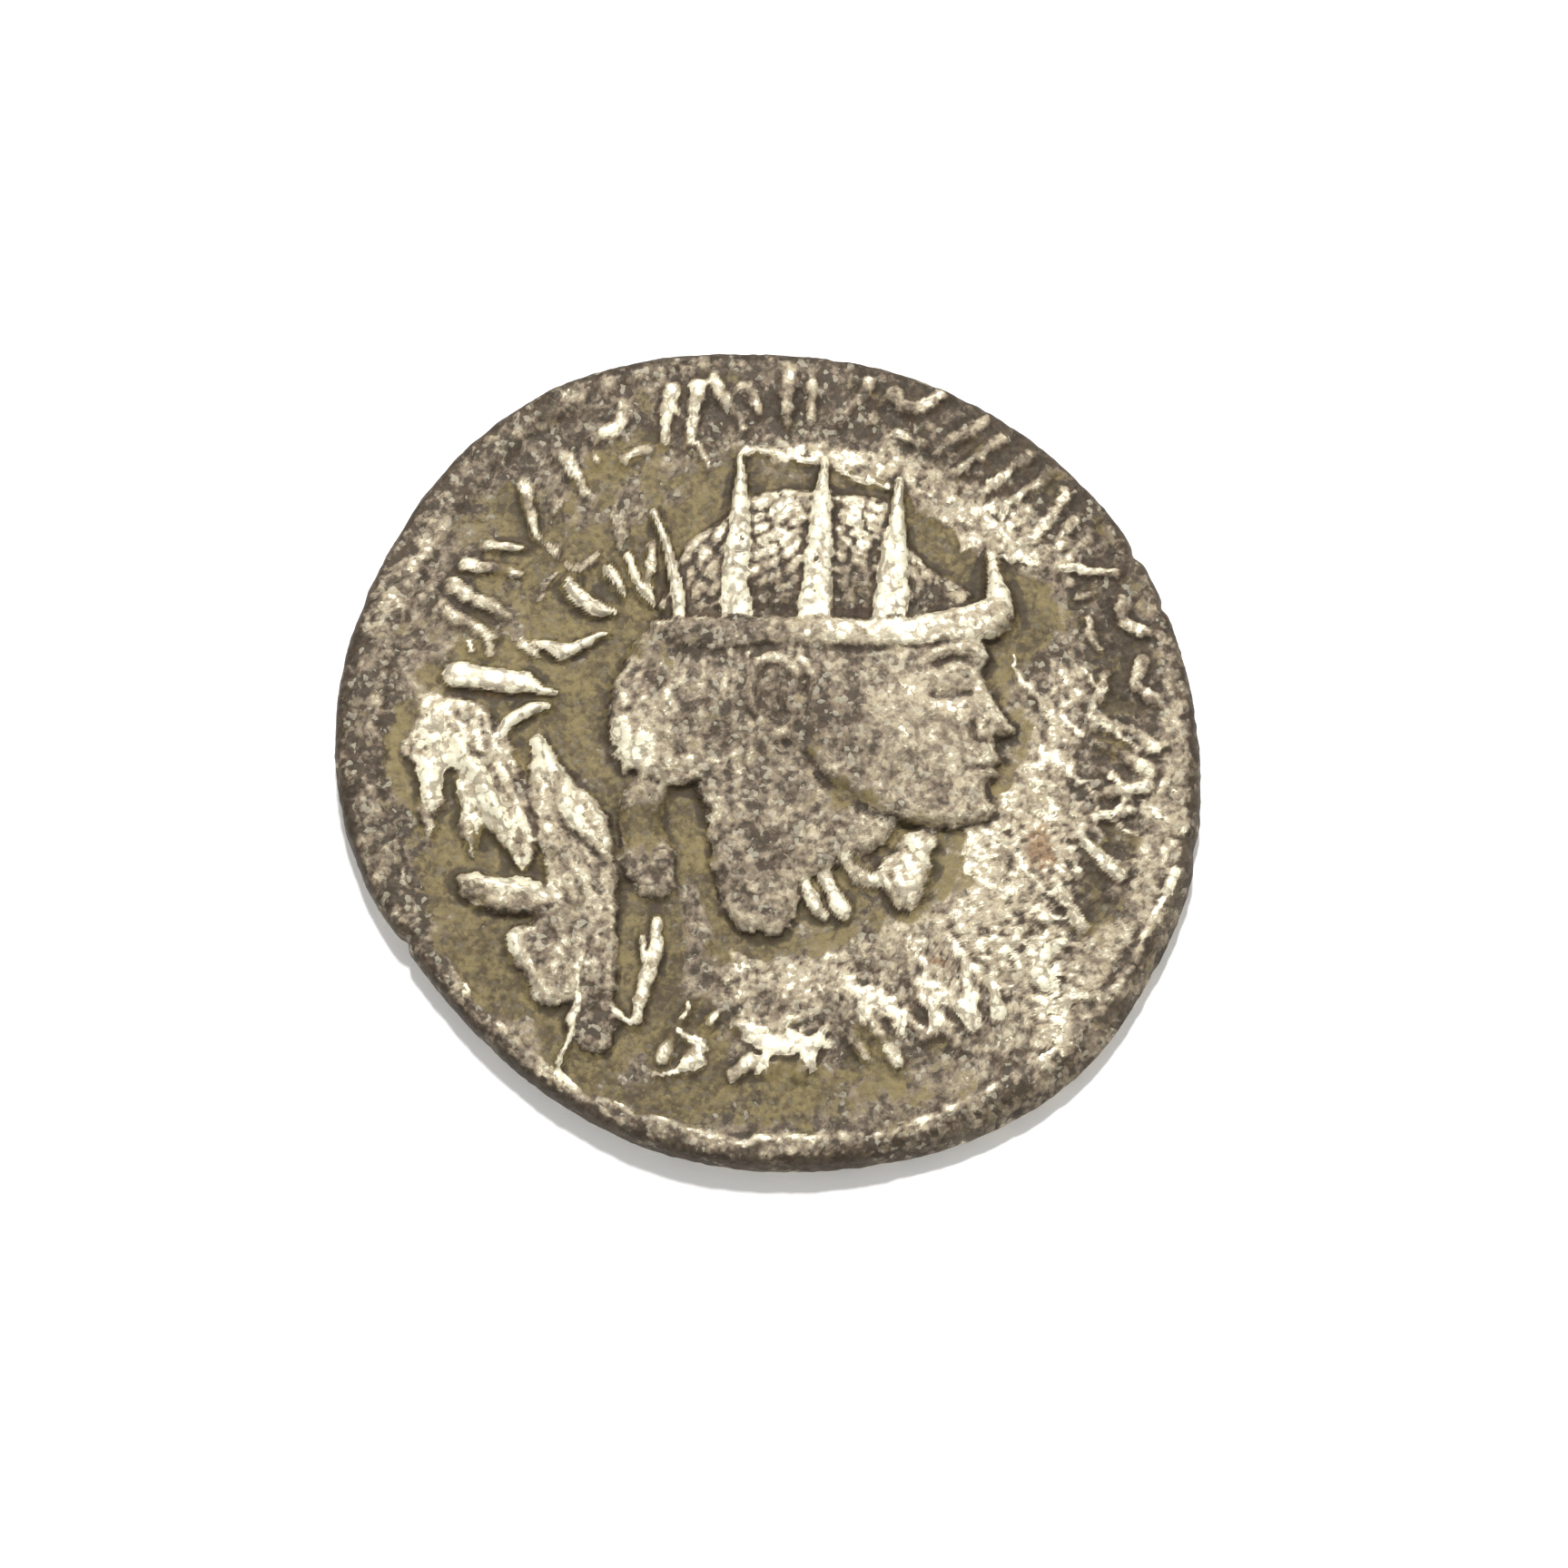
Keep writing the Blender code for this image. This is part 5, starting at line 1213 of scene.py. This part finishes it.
def worn_billon(colours):
    """Silver-grey metal with cream bright places and painted highlights, an olive film, brown deposits and
    painted shade, and a gritty skin.
    """
    finish = Finish("worn_billon_finish")
    wide = finish.noise(1.8, 2.0)
    broad = finish.noise(0.8, 2.0)
    blotch = finish.noise(0.26, 2.0, 0.6)
    speck = finish.noise(0.075, 2.0, 0.6)
    chip, chip_gap = finish.chips(0.26, blotch)
    facet, facet_gap = finish.chips(0.13, blotch)

    film = finish.mask("film")
    gleam = finish.mask("gleam")
    grit = (blotch - 0.5) * 1.3 + (chip - 0.5) * 0.34 + (facet - 0.5) * 0.36 + (speck - 0.5) * 1.1
    tone = gleam + (broad - 0.5) * 0.8 + grit * (1 - film * 0.5)
    bright = (tone - film * 0.35).ramp(0.68, 0.92)
    cracks = (chip_gap + (speck - 0.5) * 0.6).ramp(0.5, 0.68) * (0.35 + bright * 0.65) * (1 - film)
    # This mask darkens the colour to brown: dark deposits, and painted shade at the feet of raised parts and
    # on the edge wall
    soot_and_shade = finish.mask("soot_and_shade") + (broad - 0.5) * 0.8 + (blotch - 0.5) * 0.9 - (chip - 0.5) * 0.3
    dark = soot_and_shade.ramp(0.4, 0.9) * (1 - bright * 0.75)
    olive = (film + (blotch - 0.5) * 1.6 + (chip - 0.5) * 0.4 + (speck - 0.5) * 0.8).ramp(0.2, 0.8)
    olive = olive * (1 - bright * 0.85)

    pits = (facet - PIT_FROM).ramp(0.0, 0.03) * (1 - olive * 0.75) * (1 - bright * 0.85)
    flecks = (FLECK_TO - facet).ramp(0.0, 0.03) * (0.8 - olive * 0.65) * (1 - dark * 0.9)

    toned = finish.blend(tone.ramp(-0.15, 0.35), colours.tarnish, colours.worn)
    crusted = finish.blend(tone.ramp(0.3, 0.68), toned, colours.crust)
    metal = finish.blend(bright, crusted, colours.silver)
    filmed = finish.blend(
        (wide * 0.5 + blotch * 0.5 + (speck - 0.5) * 0.35 + (facet - 0.5) * 0.2).ramp(0.33, 0.67),
        colours.film_shade, colours.olive,
    )
    colour = finish.blend(olive, metal, filmed)
    colour = finish.blend(dark * 0.8, colour, colours.brown)
    stains = (finish.mask("rust") + (blotch - 0.5) * 1.5).ramp(0.3, 0.8) * 0.75
    colour = finish.blend(stains, colour, colours.rust)
    colour = finish.blend(cracks * 0.6, colour, colours.crack)
    colour = finish.blend(pits * 0.55, colour, colours.brown)
    colour = finish.blend(flecks * 0.36, colour, colours.silver)
    finish.set(
        Base_Color=colour,
        Metallic=0.08 + bright * 0.22,
        Roughness=0.62 - bright * 0.12 - olive * 0.05,
        Specular_IOR_Level=0.2,
    )
    relief = blotch * 0.8 - pits * 0.3 + flecks * 0.2 + chip * 0.4 - chip_gap * 0.3
    relief = relief + speck * 0.4 + facet * 0.2 - facet_gap * 0.2
    skin = finish.node(
        "ShaderNodeBump", {},
        {"Strength": 0.9, "Distance": 0.06 * MM, "Height": relief * (1 - olive * 0.6 - bright * 0.4)},
    )
    finish.set(Normal=skin)
    return finish.material


def table_top():
    """Smooth near-white paper with a faint mottle."""
    finish = Finish("pale_paper")
    shade = finish.noise(9.0, 2.0)
    finish.set(Base_Color=finish.blend(shade, (0.93, 0.93, 0.925), (0.96, 0.96, 0.955)), Roughness=0.9)
    finish.set(Specular_IOR_Level=0.1, Emission_Color=(1.0, 0.99, 0.96, 1.0), Emission_Strength=0.17)
    return finish.material


class COIN_OT_strike(bpy.types.Operator):
    """Strike the coin: both faces and the edge as one closed skin"""

    bl_idname = "coin.strike"
    bl_label = "Strike coin"

    def execute(self, context):
        coin = make_coin(context.scene.coin_shape)
        coin.data.materials.append(worn_billon(context.scene.coin_finish))
        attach(coin, "root")
        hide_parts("coin")
        return {"FINISHED"}


class COIN_OT_stage(bpy.types.Operator):
    """Lay the table, hang the lamp and set up the camera"""

    bl_idname = "coin.stage"
    bl_label = "Set the stage"

    def execute(self, context):
        scene = context.scene
        stage = scene.coin_stage
        corners = [(x * TABLE_HALF, y * TABLE_HALF, 0) for x, y in ((-1, -1), (1, -1), (1, 1), (-1, 1))]
        mesh = bpy.data.meshes.new("table")
        mesh.from_pydata(corners, [], [(0, 1, 2, 3)])
        floor = bpy.data.objects.new("table", mesh)
        mesh.materials.append(table_top())
        scene.collection.objects.link(floor)

        add_light(scene, "key", LAMP_PLACE, LAMP_SIZE, stage.key_power)

        world = bpy.data.worlds.new("even_light")
        world.use_nodes = True
        sky = world.node_tree.nodes["Background"]
        sky.inputs["Color"].default_value = (1.0, 0.99, 0.97, 1.0)
        sky.inputs["Strength"].default_value = stage.sky
        scene.world = world
        scene.view_settings.view_transform = "Standard"

        middle = (*flan_middle(), 0)
        target = Vector([look - offset for look, offset in zip(LOOK_AT, middle)]) * MM
        back = Vector((0, -math.cos(stage.elevation), math.sin(stage.elevation)))
        camera = bpy.data.objects.new("camera", bpy.data.cameras.new("camera"))
        camera.data.sensor_width = SENSOR_WIDTH
        camera.data.lens = FOCAL_LENGTH
        camera.data.clip_start = 0.005
        camera.location = target + back * stage.distance
        camera.rotation_euler = back.to_track_quat("Z", "Y").to_euler()
        scene.collection.objects.link(camera)
        scene.camera = camera
        return {"FINISHED"}


def add_light(scene, name, place, size, power):
    """A square soft light that faces the coin."""
    data = bpy.data.lights.new(name, "AREA")
    data.size = size
    data.energy = power
    light = bpy.data.objects.new(name, data)
    light.location = place
    light.rotation_euler = Vector(place).to_track_quat("Z", "Y").to_euler()
    scene.collection.objects.link(light)


class COIN_PT_panel(bpy.types.Panel):
    """Settings and steps of the coin"""

    bl_label = "Struck coin"
    bl_space_type = "VIEW_3D"
    bl_region_type = "UI"
    bl_category = "Coin"

    def draw(self, context):
        scene = context.scene
        for group in (scene.coin_shape, scene.coin_finish, scene.coin_stage):
            for name in group.bl_rna.properties.keys():
                if name not in ("rna_type", "name"):
                    self.layout.prop(group, name)
        for operator in (COIN_OT_strike, COIN_OT_stage):
            self.layout.operator(operator.bl_idname)


CLASSES = (CoinShape, CoinFinish, CoinStage, COIN_OT_strike, COIN_OT_stage, COIN_PT_panel)
GROUPS = {"coin_shape": CoinShape, "coin_finish": CoinFinish, "coin_stage": CoinStage}


def register():
    for cls in CLASSES:
        bpy.utils.register_class(cls)
    for name, group in GROUPS.items():
        setattr(bpy.types.Scene, name, bpy.props.PointerProperty(type=group))


def unregister():
    for name in GROUPS:
        delattr(bpy.types.Scene, name)
    for cls in reversed(CLASSES):
        bpy.utils.unregister_class(cls)


def main():
    """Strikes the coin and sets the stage."""
    register()
    bpy.ops.coin.strike()
    bpy.ops.coin.stage()


if __name__ == "__main__":
    main()
